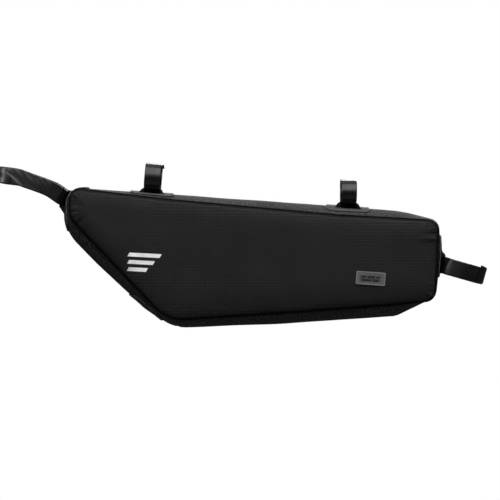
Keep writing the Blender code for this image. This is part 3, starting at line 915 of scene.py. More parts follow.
@dataclass(frozen=True)
class Thread(Finish):
    """Twisted sewing thread, or a piped edge wound in the same way."""

    twist: float = 0.7 * MM
    specular: float = 0.2

    def build(self, effects: Effects) -> bpy.types.Material:
        """Return the material."""
        graph, shader, made = self.start()
        place = cloth_place(graph)
        parts = graph.split(place)
        lean = graph.math("ADD", parts["X"], parts["Y"])
        angle = graph.math("MULTIPLY", lean, math.tau / self.twist)
        ply = graph.math("MULTIPLY_ADD", graph.math("SINE", angle), 0.5, 0.5)
        mottle = effects.use(graph, Effect.MOTTLE, place, Wide=90.0)
        worn = graph.math("MULTIPLY", mottle["Wide"], 0.4)
        graph.fill(shader, {
            # The ply paints shade and highlight: darker in the twist's grooves, lighter on its ridges.
            # The worn patches are real wear.
            "Base Color": self.layered(graph, ply, (0.6, 1.3), ((worn, 1.8),)),
            "Roughness": graph.stretched(ply, 0, 1, self.roughness, 0.8),
            "Normal": graph.bump(ply, 0.08 * MM, 0.6),
            "Specular IOR Level": self.specular,
        })
        return made


@dataclass(frozen=True)
class Moulded(Finish):
    """Moulded rubber, plastic or metal with a fine grain and a rim of its own tone."""

    metallic: float = 0.0
    grain: float = 900.0
    rim_tone: float = 1.5
    depth: float = 0.04 * MM

    def build(self, effects: Effects) -> bpy.types.Material:
        """Return the material."""
        graph, shader, made = self.start()
        place = cloth_place(graph)
        mottle = effects.use(graph, Effect.MOTTLE, place, Wide=70.0, Small=self.grain)
        lint = effects.use(graph, Effect.LINT, place, Amount=0.2)
        layers = (
            (graph.math("MULTIPLY", mottle["Small"], 0.3), 0.7),
            (graph.math("MULTIPLY", rim_value(graph), 0.6), self.rim_tone),
            (lint["Specks"], 1.8),
        )
        low, high = self.roughness - 0.05, self.roughness + 0.06
        graph.fill(shader, {
            "Base Color": self.layered(graph, mottle["Wide"], (0.86, 1.12), layers),
            "Roughness": graph.stretched(mottle["Wide"], 0, 1, low, high),
            "Normal": graph.bump(mottle["Small"], self.depth, 0.5),
            "Metallic": self.metallic,
        })
        return made


@dataclass
class SidePanel:
    """One padded side panel: crowned, with small folds that run in from its seam."""

    shape: BagShape
    side: Side
    seed: int
    finish: bpy.types.Material
    rows: tuple[float, ...] = tuple(
        row * MM for row in (0.0, 0.4, 0.9, 1.5, 2.2, 3.0, 4.0, 5.2, 6.6, 8.2)
    )
    fill_step: float = 2.4 * MM
    wall: float = 2.0 * MM
    fold_count: int = 120
    corner_folds: int = 12
    fold_depth: float = 0.28 * MM
    corner_fold_depth: float = 1.5 * MM
    wave_depth: float = 0.55 * MM
    # width of the painted shade along the seam's ditch
    ditch: float = 1.8 * MM
    folds: np.ndarray = field(init=False)

    def __post_init__(self) -> None:
        """Draw the folds: place along the seam, half width, length and depth of each."""
        random = np.random.RandomState(self.seed)
        whole = sum(self.shape.seam.lengths)
        folds = []
        for _ in range(self.fold_count):
            depth = self.fold_depth * random.uniform(-1.0, 1.0)
            folds.append((
                random.uniform(0, whole), random.uniform(1.6, 4.0) * MM,
                random.uniform(6, 16) * MM, depth,
            ))
        for name in ("nose_top", "nose_bottom", "tail_top", "tail_bottom"):
            middle = self.shape.corner_along(self.shape.seam, name)
            strength = 1.0 if name.endswith("top") else 0.5
            for _ in range(self.corner_folds):
                depth = self.corner_fold_depth * strength * random.uniform(-1.0, 1.0)
                folds.append((
                    middle + random.uniform(-22, 22) * MM, random.uniform(1.4, 2.6) * MM,
                    random.uniform(12, 26) * MM, depth,
                ))
        self.folds = np.array(folds)

    def depth(self, flats: np.ndarray, height: float | np.ndarray = 0.0) -> np.ndarray:
        """Return the depths of flat points that lie at a height above the panel."""
        distances, alongs = self.shape.measure(flats)
        rise = self.shape.crown_height(flats, distances)
        whole = sum(self.shape.seam.lengths)
        for along, width, length, depth in self.folds:
            aside = (alongs - along + whole / 2) % whole - whole / 2
            across = np.exp(-((aside / width) ** 2))
            inward = distances / (length / 3)
            rise += depth * across * inward * np.exp(1 - inward)
        waves = np.array([
            drift(x * 14, z * 22, self.seed) + 0.35 * drift(x * 45, z * 60, self.seed + 7)
            for x, z in flats
        ])
        rise += self.wave_depth * waves * smooth(distances / (12 * MM))
        return self.side.value * (self.shape.seam_width / 2 + self.shape.gap + rise + height)

    def place(self, flats: np.ndarray, height: float | np.ndarray) -> np.ndarray:
        """Return points in space above the panel at flat places."""
        depths = self.depth(flats, height)
        return np.column_stack((flats[:, 0], depths, flats[:, 1]))

    def seam_rows(self) -> np.ndarray:
        """Return the flat points of the rows inside the seam, without the outermost."""
        points = []
        for inset in self.rows[1:]:
            for element, share in self.shape.places:
                inward = self.shape.seam.normal(element, share) * -inset
                points.append(self.shape.seam.point(element, share) + inward)
        flats = np.array(points)
        distances, _ = self.shape.measure(flats)
        insets = np.repeat(self.rows[1:], len(self.shape.places))
        return flats[(distances > 0.93 * insets) & inside(self.shape.seam_points, flats)]

    def build(self, holes: Sequence[np.ndarray] = ()) -> bpy.types.Object:
        """Build the panel.

        Args:
            holes: The flat loops of the openings in it.

        Returns:
            The panel's object.
        """
        outer = self.shape.seam_points
        grid = hexagonal(outer.min(axis=0), outer.max(axis=0), self.fill_step)
        distances, _ = self.shape.measure(grid)
        grid = grid[inside(outer, grid) & (distances > self.rows[-1] + self.fill_step / 2)]
        fill = np.concatenate([self.seam_rows(), grid])
        for hole in holes:
            near = np.linalg.norm(fill[:, None, :] - hole[None, :, :], axis=2).min(axis=1)
            fill = fill[~inside(hole, fill) & (near > 0.6 * MM)]
        flats, triangles = triangulated([outer, *holes], fill)
        points = self.place(flats, 0.0)
        cloth_map = [tuple(flats[index]) for face in triangles for index in face]
        distances, _ = self.shape.measure(flats)
        # Painted shade: the rim value darkens the panel in a band along the seam, where its ditch is
        # shaded.
        rim = np.exp(-((distances / self.ditch) ** 2))
        surface = Surface(points, triangles, cloth_map, rim)
        name = self.side.name.lower() + "_panel"
        piece = make_piece(name + "_cloth", surface, self.finish, 80.0)
        self.face_outward(piece)
        self.thicken(piece)
        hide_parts(name)
        return piece

    def sew_top(self, stitches: Stitches, inset: float) -> None:
        """Sew a row of stitches at an inset below the top seam."""
        seam = self.shape.seam
        ends = ("nose_top", "tail_top")
        first, last = (self.shape.corner_along(seam, name) for name in ends)
        flats = []
        for along in np.arange(first, last, 2 * MM):
            place = seam.locate(along)
            flats.append(seam.point(*place) - seam.normal(*place) * inset)
        up = Vector((0.0, self.side.value, 0.0))
        path = [(Vector(point), up) for point in self.place(np.array(flats), 0.0)]
        stitches.build("top_stitches", stitches.row(path), "panel_cloth")

    def face_outward(self, piece: bpy.types.Object) -> None:
        """Turn the faces of the open sheet away from the bag."""
        total = sum(face.normal.y * face.area for face in piece.data.polygons)
        if total * self.side.value < 0:
            piece.data.flip_normals()

    def thicken(self, piece: bpy.types.Object) -> None:
        """Give the open sheet its wall, inwards."""
        wall = piece.modifiers.new("wall", "SOLIDIFY")
        wall.thickness = self.wall
        wall.offset = -1.0
        apply_modifiers(piece)


def apply_modifiers(piece: bpy.types.Object) -> None:
    """Make a piece's modifiers part of its mesh."""
    depsgraph = bpy.context.evaluated_depsgraph_get()
    mesh = bpy.data.meshes.new_from_object(piece.evaluated_get(depsgraph))
    piece.modifiers.clear()
    piece.data = mesh


@dataclass
class Gusset:
    """The cloth band round the edge of the bag, with its sewn edges turned in."""

    shape: BagShape
    finish: bpy.types.Material
    across: int = 37
    wall: float = 1.6 * MM
    edge_turn: float = 1.3 * MM
    wave_depth: float = 0.5 * MM
    pucker: float = 0.22 * MM
    pucker_pitch: float = 6.5 * MM
    join_depth: float = 0.7 * MM
    join_width: float = 1.5 * MM
    join_shares: tuple[float, ...] = (0.905, 0.30)

    def relief(self, along: float, y: float, x: float, upper: bool) -> float:
        """Return how far a place stands off the plain band.

        Args:
            along: The length along the middle outline.
            y: The depth.
            x: The place along the bag.
            upper: Whether it is on the top of the bag.

        Returns:
            The height in metres.
        """
        half = self.shape.seam_width / 2
        edge = half - abs(y)
        height = self.wave_depth * drift(along * 22, y * 30, 3.1) * eased(edge / (8 * MM))
        phase = along / self.pucker_pitch
        ripple = drift(phase, math.copysign(5.0, y), 0.7) + 0.6 * drift(2.3 * phase, 9.0, y * 40)
        height += self.pucker * ripple * math.exp(-edge / (5 * MM)) * min(edge / (1.5 * MM), 1.0)
        for index, share in enumerate(self.join_shares):
            if upper == (index == 0):
                away = (x - self.shape.nose_x - self.shape.length * share) / self.join_width
                height -= self.join_depth * math.exp(-away * away)
        turn = max(0.0, 1 - edge / self.edge_turn)
        return height - self.edge_turn * (1 - math.sqrt(1 - min(turn, 0.98) ** 2))

    def build(self) -> bpy.types.Object:
        """Build the band and return its object."""
        half = self.shape.seam_width / 2
        shares = np.sin(np.linspace(-1, 1, self.across) * math.pi / 2)
        shares = 0.55 * shares + 0.45 * np.linspace(-1, 1, self.across)
        outer = [half * share for share in shares]
        inner = [half * share for share in (1, 0.5, 0, -0.5, -1)]
        alongs = [self.shape.middle.distance(*place) for place in self.shape.places]
        rings = np.empty((len(self.shape.places), len(outer) + len(inner), 3))
        rim = np.zeros(rings.shape[:2])
        for row, (place, along) in enumerate(zip(self.shape.places, alongs)):
            middle = self.shape.middle.point(*place)
            upper = middle.y > self.shape.top_z - self.shape.height / 2
            for column, y in enumerate(outer):
                height = self.relief(along, y, middle.x, upper)
                rings[row, column] = self.shape.gusset_point(*place, y, height)
                # Painted shade: the rim value is high at the gusset's sewn edges, where the gusset
                # cloth's rim tone darkens it.
                rim[row, column] = math.exp(-((half - abs(y)) / (1.8 * MM)) ** 2)
            for column, y in enumerate(inner, len(outer)):
                rings[row, column] = self.shape.gusset_point(*place, y, -self.wall - self.edge_turn)
        across = outer + [half + self.wall + (half - y) for y in inner] + [3 * half]
        whole = sum(self.shape.middle.lengths)
        surface = loft(rings, alongs + [whole], across, closed=True, rim=rim)
        piece = make_piece("gusset_band", surface, self.finish, 75.0)
        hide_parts("gusset")
        return piece


@dataclass
class SeamPiping:
    """The thin black piping that lies in the ditch between a panel and the gusset. Its near-black
    is partly its own colour and partly painted shade in the ditch.
    """

    shape: BagShape
    finish: bpy.types.Material
    radius: float = 1.15 * MM
    sides: int = 10
    inset: float = 0.10 * MM
    wobble: float = 0.12 * MM

    def build(self, side: Side) -> bpy.types.Object:
        """Build the piping of one side and return its object."""
        places = self.shape.places
        alongs = [self.shape.seam.distance(*place) for place in places]
        depth = side.value * (self.shape.seam_width / 2 + self.shape.gap / 2)
        line = []
        for place, along in zip(places, alongs):
            outward = self.shape.seam.normal(*place)
            loose = self.wobble * drift(along * 160, side.value, 2.0)
            centre = self.shape.seam.point(*place) - outward * (self.inset + loose)
            radius = self.radius * (1 + 0.06 * math.sin(along * math.tau / (3 * MM)))
            across = in_space(outward, 0.0), Vector((0.0, 1.0, 0.0))
            line.append((in_space(centre, depth), *across, radius))
        turns = [math.tau * self.radius * column / self.sides for column in range(self.sides + 1)]
        whole = sum(self.shape.seam.lengths)
        surface = loft(tube(line, self.sides), alongs + [whole], turns, closed=True)
        name = "piping_" + side.name.lower()
        return make_piece(name, surface, self.finish, 70.0)


@dataclass
class Stitches:
    """Rows of single stitches, each a small round-ended thread."""

    finish: bpy.types.Material
    length: float = 2.5 * MM
    pitch: float = 3.3 * MM
    radius: float = 0.26 * MM
    sides: int = 6
    profile: tuple[tuple[float, float], ...] = (
        (-1.0, 0.25), (-0.8, 0.8), (-0.3, 1.0), (0.3, 1.0), (0.8, 0.8), (1.0, 0.25),
    )

    def stitch(self, start: Vector, end: Vector, up: Vector) -> Surface:
        """Return one stitch between two points, lifted in its middle."""
        middle = (start + end) / 2
        run = end - start
        aside = run.cross(up).normalized()
        line = []
        for share, width in self.profile:
            sink = up * self.radius * (0.5 - 0.9 * share * share)
            line.append((middle + run * share / 2 + sink, aside, up, self.radius * width))
        along = [share * self.length / 2 for share, _ in self.profile]
        across = [column * self.radius for column in range(self.sides + 1)]
        return loft(tube(line, self.sides), along, across, closed=False)

    def row(self, path: Sequence[tuple[Vector, Vector]]) -> list[Surface]:
        """Sew along a path.

        Args:
            path: Points and their outward directions, close together.

        Returns:
            The stitches.
        """
        points = [point for point, _ in path]
        lengths = [0.0]
        for before, after in zip(points, points[1:]):
            lengths.append(lengths[-1] + (after - before).length)
        count = max(1, round(lengths[-1] / self.pitch))
        pitch = lengths[-1] / count
        made = []
        for index in range(count):
            first = pitch * index + (pitch - self.length) / 2
            ends = [self.at(path, lengths, first + shift) for shift in (0.0, self.length)]
            up = (ends[0][1] + ends[1][1]).normalized()
            made.append(self.stitch(ends[0][0], ends[1][0], up))
        return made

    @staticmethod
    def at(
        path: Sequence[tuple[Vector, Vector]], lengths: Sequence[float], distance: float
    ) -> tuple[Vector, Vector]:
        """Return the point and the outward direction at a distance along a path."""
        index = int(np.searchsorted(lengths, distance, side="right")) - 1
        index = min(max(index, 0), len(path) - 2)
        share = (distance - lengths[index]) / max(lengths[index + 1] - lengths[index], 1e-9)
        first, second = path[index], path[index + 1]
        return first[0].lerp(second[0], share), first[1].lerp(second[1], share)

    def build(self, name: str, rows: Sequence[Surface], slot: str) -> bpy.types.Object:
        """Join sewn rows into one piece and return its object."""
        return make_piece(name, Surface.joined(rows), self.finish, 80.0)


class Anchor(NamedTuple):
    """One sewn patch between two corners of the middle outline.

    slots is how far its slots lie from its middle, slack how far its strip stands off when no
    strap is under it.
    """

    name: str
    start: str
    end: str
    share: float
    length: float
    slots: float
    slack: float


ANCHORS = (
    Anchor("anchor_top_front", "nose_top", "tail_top", 0.2225, 50 * MM, 0.0, 0.0),
    Anchor("anchor_top_rear", "nose_top", "tail_top", 0.7526, 50 * MM, 0.0, 0.0),
    Anchor("anchor_nose", "nose_bottom", "nose_top", 0.735, 70 * MM, 0.0, 0.0),
    Anchor("anchor_slope", "toe", "nose_bottom", 0.232, 50 * MM, 0.0, 0.8 * MM),
    Anchor("anchor_tail", "tail_top", "tail_bottom", 0.465, 50 * MM, 6 * MM, 0.0),
)


class Strap(NamedTuple):
    """One strap loop: its sizes, its free end and the points that it passes."""

    name: str
    anchor: str
    width: float
    reach: float
    space: float
    inner_turn: float
    far_turn: float
    end_side: Side
    lap: float
    skew: float
    offset: float
    lean: float
    crease: float
    bulge: float
    satin: bool
    route: tuple[tuple[float, float], ...]


STRAPS = (
    Strap("strap_top_front", "anchor_top_front", 0.96, 35.9 * MM, 34 * MM, 14 * MM, 9 * MM,
          Side.BACK, 4 * MM, 1.8 * MM, -0.1 * MM, 0.0, 0.08 * MM, -3.0 * MM, False,
          ((0.082, 1.0),)),
    Strap("strap_top_rear", "anchor_top_rear", 0.92, 33.1 * MM, 34 * MM, 14 * MM, 9 * MM,
          Side.BACK, 4 * MM, 0.2 * MM, 0.3 * MM, 0.0, 0.08 * MM, -3.0 * MM, False,
          ((0.022, 1.0),)),
    Strap("strap_head", "anchor_nose", 0.97, 88 * MM, 52 * MM, 22 * MM, 19 * MM,
          Side.FRONT, 16 * MM, -0.8 * MM, 3.4 * MM, -3.0, 1.2 * MM, 0.0, True,
          ((-0.218, 0.143), (-0.519, 0.256), (-0.640, 0.298), (-0.854, 0.327))),
    Strap("strap_seat", "anchor_tail", 0.97, 54.6 * MM, 35 * MM, 14 * MM, 10 * MM,
          Side.FRONT, 8.5 * MM, -2.4 * MM, 3.7 * MM, 0.0, 0.08 * MM, 2.5 * MM, False,
          ((0.242, -0.068), (0.954, -0.270))),
)


@dataclass
class Harness:
    """The sewn patches and the strap loops that pass under their raised strips."""

    shape: BagShape
    patch_finish: bpy.types.Material
    # near-black for the painted shade pieces: the cords round the patches, the fills under the straps
    # and the sheets in the slots
    shade_black_finish: bpy.types.Material
    webbing: bpy.types.Material
    satin: bpy.types.Material
    stitches: Stitches
    strap_width: float = 20 * MM
    strap_thickness: float = 1.4 * MM
    patch_thickness: float = 1.2 * MM
    patch_width: float = 34 * MM
    strip_width: float = 20 * MM
    slot_width: float = 3 * MM
    slot_length: float = 30 * MM
    strap_lead: float = 3.5 * MM
    lead_pull: float = 0.6
    roundness: float = 6.0
    cell: float = 1.0 * MM
    stitch_inset: float = 2.1 * MM
    edge_radius: float = 0.5 * MM
    edge_sides: int = 8
    # height of the black sheet that paints shade in the slots
    slot_shade_height: float = 0.28 * MM
    strap_play: float = 0.15 * MM

    def along(self, anchor: Anchor) -> float:
        """Return the length along the middle outline to the middle of a patch."""
        outline = self.shape.middle
        start, end = (self.shape.corner_along(outline, name) for name in (anchor.start, anchor.end))
        if end < start:
            end += sum(outline.lengths)
        return start + (end - start) * anchor.share

    def seat(self, anchor: Anchor, strap: Strap) -> tuple[Vector, Vector, Vector]:
        """Return where a strap leaves the bag, and its directions outward and along."""
        place = self.shape.middle.locate(self.along(anchor) + anchor.slots + strap.offset)
        outward = turned(self.shape.middle.normal(*place), math.radians(strap.lean))
        return self.shape.middle.point(*place), outward, turned(outward, -math.pi / 2)

    def strap_base(self) -> float:
        """Return the height of a strap's middle above the bag where it passes its strip."""
        return self.shape.gap + self.strap_thickness / 2

    def strap_half(self, strap: Strap) -> float:
        """Return the depth of a strap's middle at either side of its loop."""
        return strap.space / 2 + self.strap_thickness / 2

    def strap_rise(self, strap: Strap, y: float) -> tuple[float, float]:
        """Return the height of a strap's middle under its strip, and its slope there."""
        beyond = abs(y) - (self.strap_half(strap) - strap.inner_turn)
        if beyond <= 0:
            return self.strap_base(), 0.0
        beyond = min(beyond, 0.95 * strap.inner_turn)
        drop = math.sqrt(strap.inner_turn ** 2 - beyond ** 2)
        return self.strap_base() + strap.inner_turn - drop, beyond / drop

    def rounding(self, anchor: Anchor, a: float) -> float:
        """Return the share of a patch's width that is left towards its round ends."""
        far = anchor.length / 2 + self.shape.gap
        return (1 - (abs(a + anchor.slots) / far) ** self.roundness) ** (1 / self.roundness)

    def patch_point(self, anchor: Anchor, strap: Strap | None, a: float, b: float, height: float):
        """Return a point of a patch.

        Args:
            anchor: The patch.
            strap: The strap that passes through it, or None.
            a: The place along the patch from the middle of its slots.
            b: The place across it, before its ends are rounded.
            height: The height above the gusset.

        Returns:
            The point in space.
        """
        middle = self.along(anchor) + anchor.slots
        slot_end = self.slot_length / 2

        def lying(rise: float) -> Vector:
            """Return the point where the patch lies on the gusset."""
            return self.shape.gusset_at(middle + a, b * self.rounding(anchor, a), rise)

        if abs(b) > self.strip_width / 2 + self.shape.gap or abs(a) >= slot_end:
            return lying(height)
        beside = strap is None or abs(a - strap.offset) > self.passage(strap)
        if height <= self.shape.gap and beside:
            return lying(height)
        if strap is None:
            return lying(height + anchor.slack * math.cos(math.pi / 2 * a / slot_end) ** 2)
        base, outward, tangent = self.seat(anchor, strap)
        rise, slope = self.strap_rise(strap, b)
        above = rise + (self.strap_thickness / 2 + height) * math.hypot(1.0, slope)
        raised = in_space(base + outward * above + tangent * (a - strap.offset), b)
        flat_end = self.strap_width / 2 + 2 * self.shape.gap
        ramp_end = slot_end - abs(strap.offset) * math.copysign(1, a * strap.offset)
        share = 1 - eased((abs(a - strap.offset) - flat_end) / (ramp_end - flat_end))
        return lying(height).lerp(raised, share)

    def passage(self, strap: Strap) -> float:
        """Return half the width that a strip leaves open for its strap."""
        return self.strap_width * strap.width / 2 + self.strap_play

    def build_patch(self, anchor: Anchor) -> bpy.types.Object:
        """Build one sewn patch with its slots and raised strip, and return its object."""
        strap = next((strap for strap in STRAPS if strap.anchor == anchor.name), None)
        far, half = anchor.length / 2, self.patch_width / 2
        slot_end, low = self.slot_length / 2, self.strip_width / 2
        high = low + self.slot_width
        inner = [-slot_end, slot_end]
        if strap:
            open_half = self.passage(strap)
            inner[1:1] = [
                strap.offset - open_half - 0.1 * MM, strap.offset - open_half,
                strap.offset + open_half, strap.offset + open_half + 0.1 * MM,
            ]
        alongs = self.marks([-far - anchor.slots, *inner, far - anchor.slots])
        across = self.marks([-half, -high, -low, low, high, half])
        grid = [(a, b) for a in alongs for b in across]
        points, rim = [], []
        for height in (self.shape.gap, self.shape.gap + self.patch_thickness):
            for a, b in grid:
                points.append(self.patch_point(anchor, strap, a, b, height))
                # A rim value of 1 at the patch's edge is a painted highlight along it, through the
                # patch cloth's rim tone.
                edge = min(far - abs(a + anchor.slots), half - abs(b))
                # A rim value of -1 on the strip under a strap paints it black there, a painted shade.
                in_strip = abs(a) < slot_end - self.cell and abs(b) < low + self.shape.gap
                rim.append(-1.0 if strap and in_strip else float(edge < 0.6 * self.cell))
        cells = set()
        for i, (first, second) in enumerate(zip(alongs, alongs[1:])):
            for j, (lower, upper) in enumerate(zip(across, across[1:])):
                a, b = (first + second) / 2, abs(lower + upper) / 2
                if not (abs(a) < slot_end and low < b < high):
                    cells.add((i, j))
        faces = self.slab_faces(cells, len(across), len(grid))
        cloth_map = [grid[index % len(grid)] for face in faces for index in face]
        surface = Surface(np.array(points), faces, cloth_map, np.array(rim))
        name = anchor.name + "_patch"
        piece = make_piece(name, surface, self.patch_finish, 60.0, 0.3 * MM)
        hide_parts(anchor.name)
        return piece

    @staticmethod
    def slab_faces(cells: set[tuple[int, int]], width: int, layer: int) -> list[tuple[int, ...]]:
        """Return the faces of a slab that is made of cells.

        Args:
            cells: The cells that it fills, by row and column.
            width: How many points a row has.
            layer: How many points lie in each of its two layers.

        Returns:
            The faces.
        """
        faces: list[tuple[int, ...]] = []
        for i, j in sorted(cells):
            corners = ((i, j), (i + 1, j), (i + 1, j + 1), (i, j + 1))
            under = [row * width + column for row, column in corners]
            over = [layer + index for index in under]
            faces += [tuple(under[::-1]), tuple(over)]
            for side, neighbour in enumerate(((i, j - 1), (i + 1, j), (i, j + 1), (i - 1, j))):
                if neighbour not in cells:
                    after = (side + 1) % 4
                    faces.append((under[side], under[after], over[after], over[side]))
        return faces

    def marks(self, stops: Sequence[float]) -> list[float]:
        """Return values about a cell apart that pass every stop."""
        values = [stops[0]]
        for start, end in zip(stops, stops[1:]):
            steps = max(1, round((end - start) / self.cell))
            values += [start + (end - start) * step / steps for step in range(1, steps + 1)]
        return values

    def border(self, anchor: Anchor, inset: float, height: float) -> list[tuple[Vector, Vector]]:
        """Return points and outward directions on the way round a patch.

        Args:
            anchor: The patch.
            inset: How far inside its edge they lie.
            height: Their height above the gusset.

        Returns:
            The pairs, the last one the same as the first.
        """
        far, half = anchor.length / 2 - inset, self.patch_width / 2 - inset
        middle = self.along(anchor)
        path = []
        steps = 180
        power = 2 / self.roundness
        for step in range(steps + 1):
            angle = math.tau * step / steps
            a = far * signed_power(math.cos(angle), power)
            b = half * signed_power(math.sin(angle), power)
            point = self.shape.gusset_at(middle + a, b, height)
            above = self.shape.gusset_at(middle + a, b, height + MM)
            path.append((point, (above - point).normalized()))
        return path

    def sew_patch(self, anchor: Anchor) -> list[Surface]:
        """Return the stitches round a patch's border."""
        height = self.shape.gap + self.patch_thickness
        return self.stitches.row(self.border(anchor, self.stitch_inset, height))

    def build_edge(self, anchor: Anchor) -> bpy.types.Object:
        """Build the black cord at a patch's foot, partly a binding and partly painted shade round its
        edge, and return its object.
        """
        path = self.border(anchor, -0.1 * MM, 0.3 * MM)[:-1]
        line, along = [], [0.0]
        for row, (point, up) in enumerate(path):
            ahead = path[(row + 1) % len(path)][0]
            run = ahead - path[row - 1][0]
            line.append((point, run.cross(up).normalized(), up, self.edge_radius))
            along.append(along[-1] + (ahead - point).length)
        turn = self.edge_radius * math.tau / self.edge_sides
        across = [column * turn for column in range(self.edge_sides + 1)]
        cord = loft(tube(line, self.edge_sides), along, across, closed=True)
        return make_piece(anchor.name + "_edge", cord, self.shade_black_finish, 70.0)

    def build_wedge(self, anchor: Anchor, strap: Strap) -> bpy.types.Object:
        """Build the black fill under a strap's flat base, a painted shade that closes the space there.
        """
        middle = self.along(anchor) + anchor.slots + strap.offset
        base, outward, tangent = self.seat(anchor, strap)
        half = self.strap_width * strap.width / 2
        alongs = np.linspace(-half, half, 22)
        across = list(np.linspace(-6 * MM, 6 * MM, 9))
        rings = np.empty((len(alongs), 2 * len(across), 3))
        for row, aside in enumerate(alongs):
            for column, b in enumerate(across):
                rise, slope = self.strap_rise(strap, b)
                top = rise - (self.strap_thickness / 2 + 0.03 * MM) * math.hypot(1.0, slope)
                rings[row, column] = in_space(base + outward * top + tangent * aside, b)
            for column, b in enumerate(reversed(across), len(across)):
                rings[row, column] = self.shape.gusset_at(middle + aside, b, -0.5 * MM)
        across_map = [column * MM for column in range(2 * len(across) + 1)]
        shaded_fill = loft(rings, list(alongs), across_map, closed=False)
        return make_piece(anchor.name + "_shade_fill", shaded_fill, self.shade_black_finish, 70.0)

    def build_slot_shade(self, anchor: Anchor) -> bpy.types.Object:
        """Build the black sheet that shows in a patch's slots, a painted shade there, and return its
        object.
        """
        middle = self.along(anchor) + anchor.slots
        reach, half = self.slot_length / 2, self.strip_width / 2 + self.slot_width
        alongs = np.linspace(-reach - 0.4 * MM, reach + 0.4 * MM, 32)
        across = list(np.linspace(-half - 0.4 * MM, half + 0.4 * MM, 25))
        section = [(b, self.slot_shade_height) for b in across] + [(b, -0.3 * MM) for b in across[::-1]]
        rings = np.empty((len(alongs), len(section), 3))
        for row, a in enumerate(alongs):
            for column, (b, height) in enumerate(section):
                flat = b * self.rounding(anchor, a)
                rings[row, column] = self.shape.gusset_at(middle + a, flat, height)
        across_map = [b for b, _ in section] + [section[0][0]]
        sheet = loft(rings, list(alongs), across_map, closed=False)
        return make_piece(anchor.name + "_slot_shade", sheet, self.shade_black_finish, 70.0)

    def route_points(self, anchor: Anchor, strap: Strap) -> list[Vector]:
        """Return the loop's middle line in the side view, a smooth curve from the bag."""
        base, outward, _ = self.seat(anchor, strap)
        lead = base + outward * self.strap_lead
        knots = [lead] + [base + Vector(shares) * strap.reach for shares in strap.route]
        slopes = [outward * (knots[1] - lead).length * self.lead_pull]
        for before, after in zip(knots, knots[2:]):
            slopes.append((after - before) / 2)
        slopes.append(knots[-1] - knots[-2])
        points = [base, lead]
        for i in range(len(knots) - 1):
            for step in range(1, 25):
                t = step / 24
                start = knots[i] * (2 * t ** 3 - 3 * t ** 2 + 1)
                start = start + slopes[i] * (t ** 3 - 2 * t ** 2 + t)
                end = knots[i + 1] * (3 * t ** 2 - 2 * t ** 3) + slopes[i + 1] * (t ** 3 - t ** 2)
                points.append(start + end)
        return points

    @staticmethod
    def on_route(points: Sequence[Vector], distance: float) -> tuple[Vector, Vector]:
        """Return the point and the direction at a distance along a route."""
        direction = flat_direction(points[0], points[1])
        for start, end in zip(points, points[1:]):
            length = (end - start).length
            direction = flat_direction(start, end)
            if distance <= length or end is points[-1]:
                return start + direction * distance, direction
            distance -= length
        return points[-1], direction

    def loop_line(self, strap: Strap) -> tuple[list[Vector], int]:
        """Return the strap's middle line as distances from the bag and depths.

        Args:
            strap: The strap.

        Returns:
            The line's points, and the index where the free end's layer starts.
        """
        half = self.strap_half(strap)
        layer = self.strap_thickness + self.shape.gap
        outer = strap.reach - self.strap_thickness / 2
        inner = outer - layer
        corners = [
            (inner, 0.0, 0.0),
            (inner, -half, strap.far_turn),
            (self.strap_base(), -half, strap.inner_turn),
            (self.strap_base(), half, strap.inner_turn),
            (inner, half, strap.far_turn),
            (inner, 4 * layer, layer),
            (outer, layer, layer),
            (outer, -half - layer, strap.far_turn + layer),
            (inner - strap.far_turn - strap.lap, -half - layer, 0.0),
        ]
        points = [Vector(corner[:2]) for corner in corners]
        line = [points[0]]
        for i in range(1, len(points) - 1):
            bend = Fillet(points[i - 1], points[i], points[i + 1], corners[i][2])
            line += self.subdivided(line[-1], bend.start)
            steps = math.ceil(abs(bend.turn) / math.radians(5))
            line += [bend.point(step / steps) for step in range(1, steps + 1)]
        line += self.subdivided(line[-1], points[-1])
        level = outer - strap.lap
        last = max(i for i, point in enumerate(line) if point.x >= level)
        first, second = line[last], line[last + 1]
        share = max((first.x - level) / (first.x - second.x), 0.2)
        line = line[:last + 1] + [first.lerp(second, share)]
        return line, max(i for i, point in enumerate(line) if point.y > 0)

    @staticmethod
    def subdivided(start: Vector, end: Vector) -> list[Vector]:
        """Return the points of a straight run after its first one."""
        steps = max(1, math.ceil((end - start).length / (1.6 * MM)))
        return [start.lerp(end, step / steps) for step in range(1, steps + 1)]

    @staticmethod
    def section() -> list[tuple[float, float]]:
        """Return the strap's cross-section as shares of its half width and thickness."""
        top = [(share, 1.0) for share in np.linspace(-0.94, 0.94, 17)]
        edge = [(0.985, 0.6), (1.0, 0.0), (0.985, -0.6)]
        upper = top + edge
        return upper + [(-u, -v) for u, v in upper]

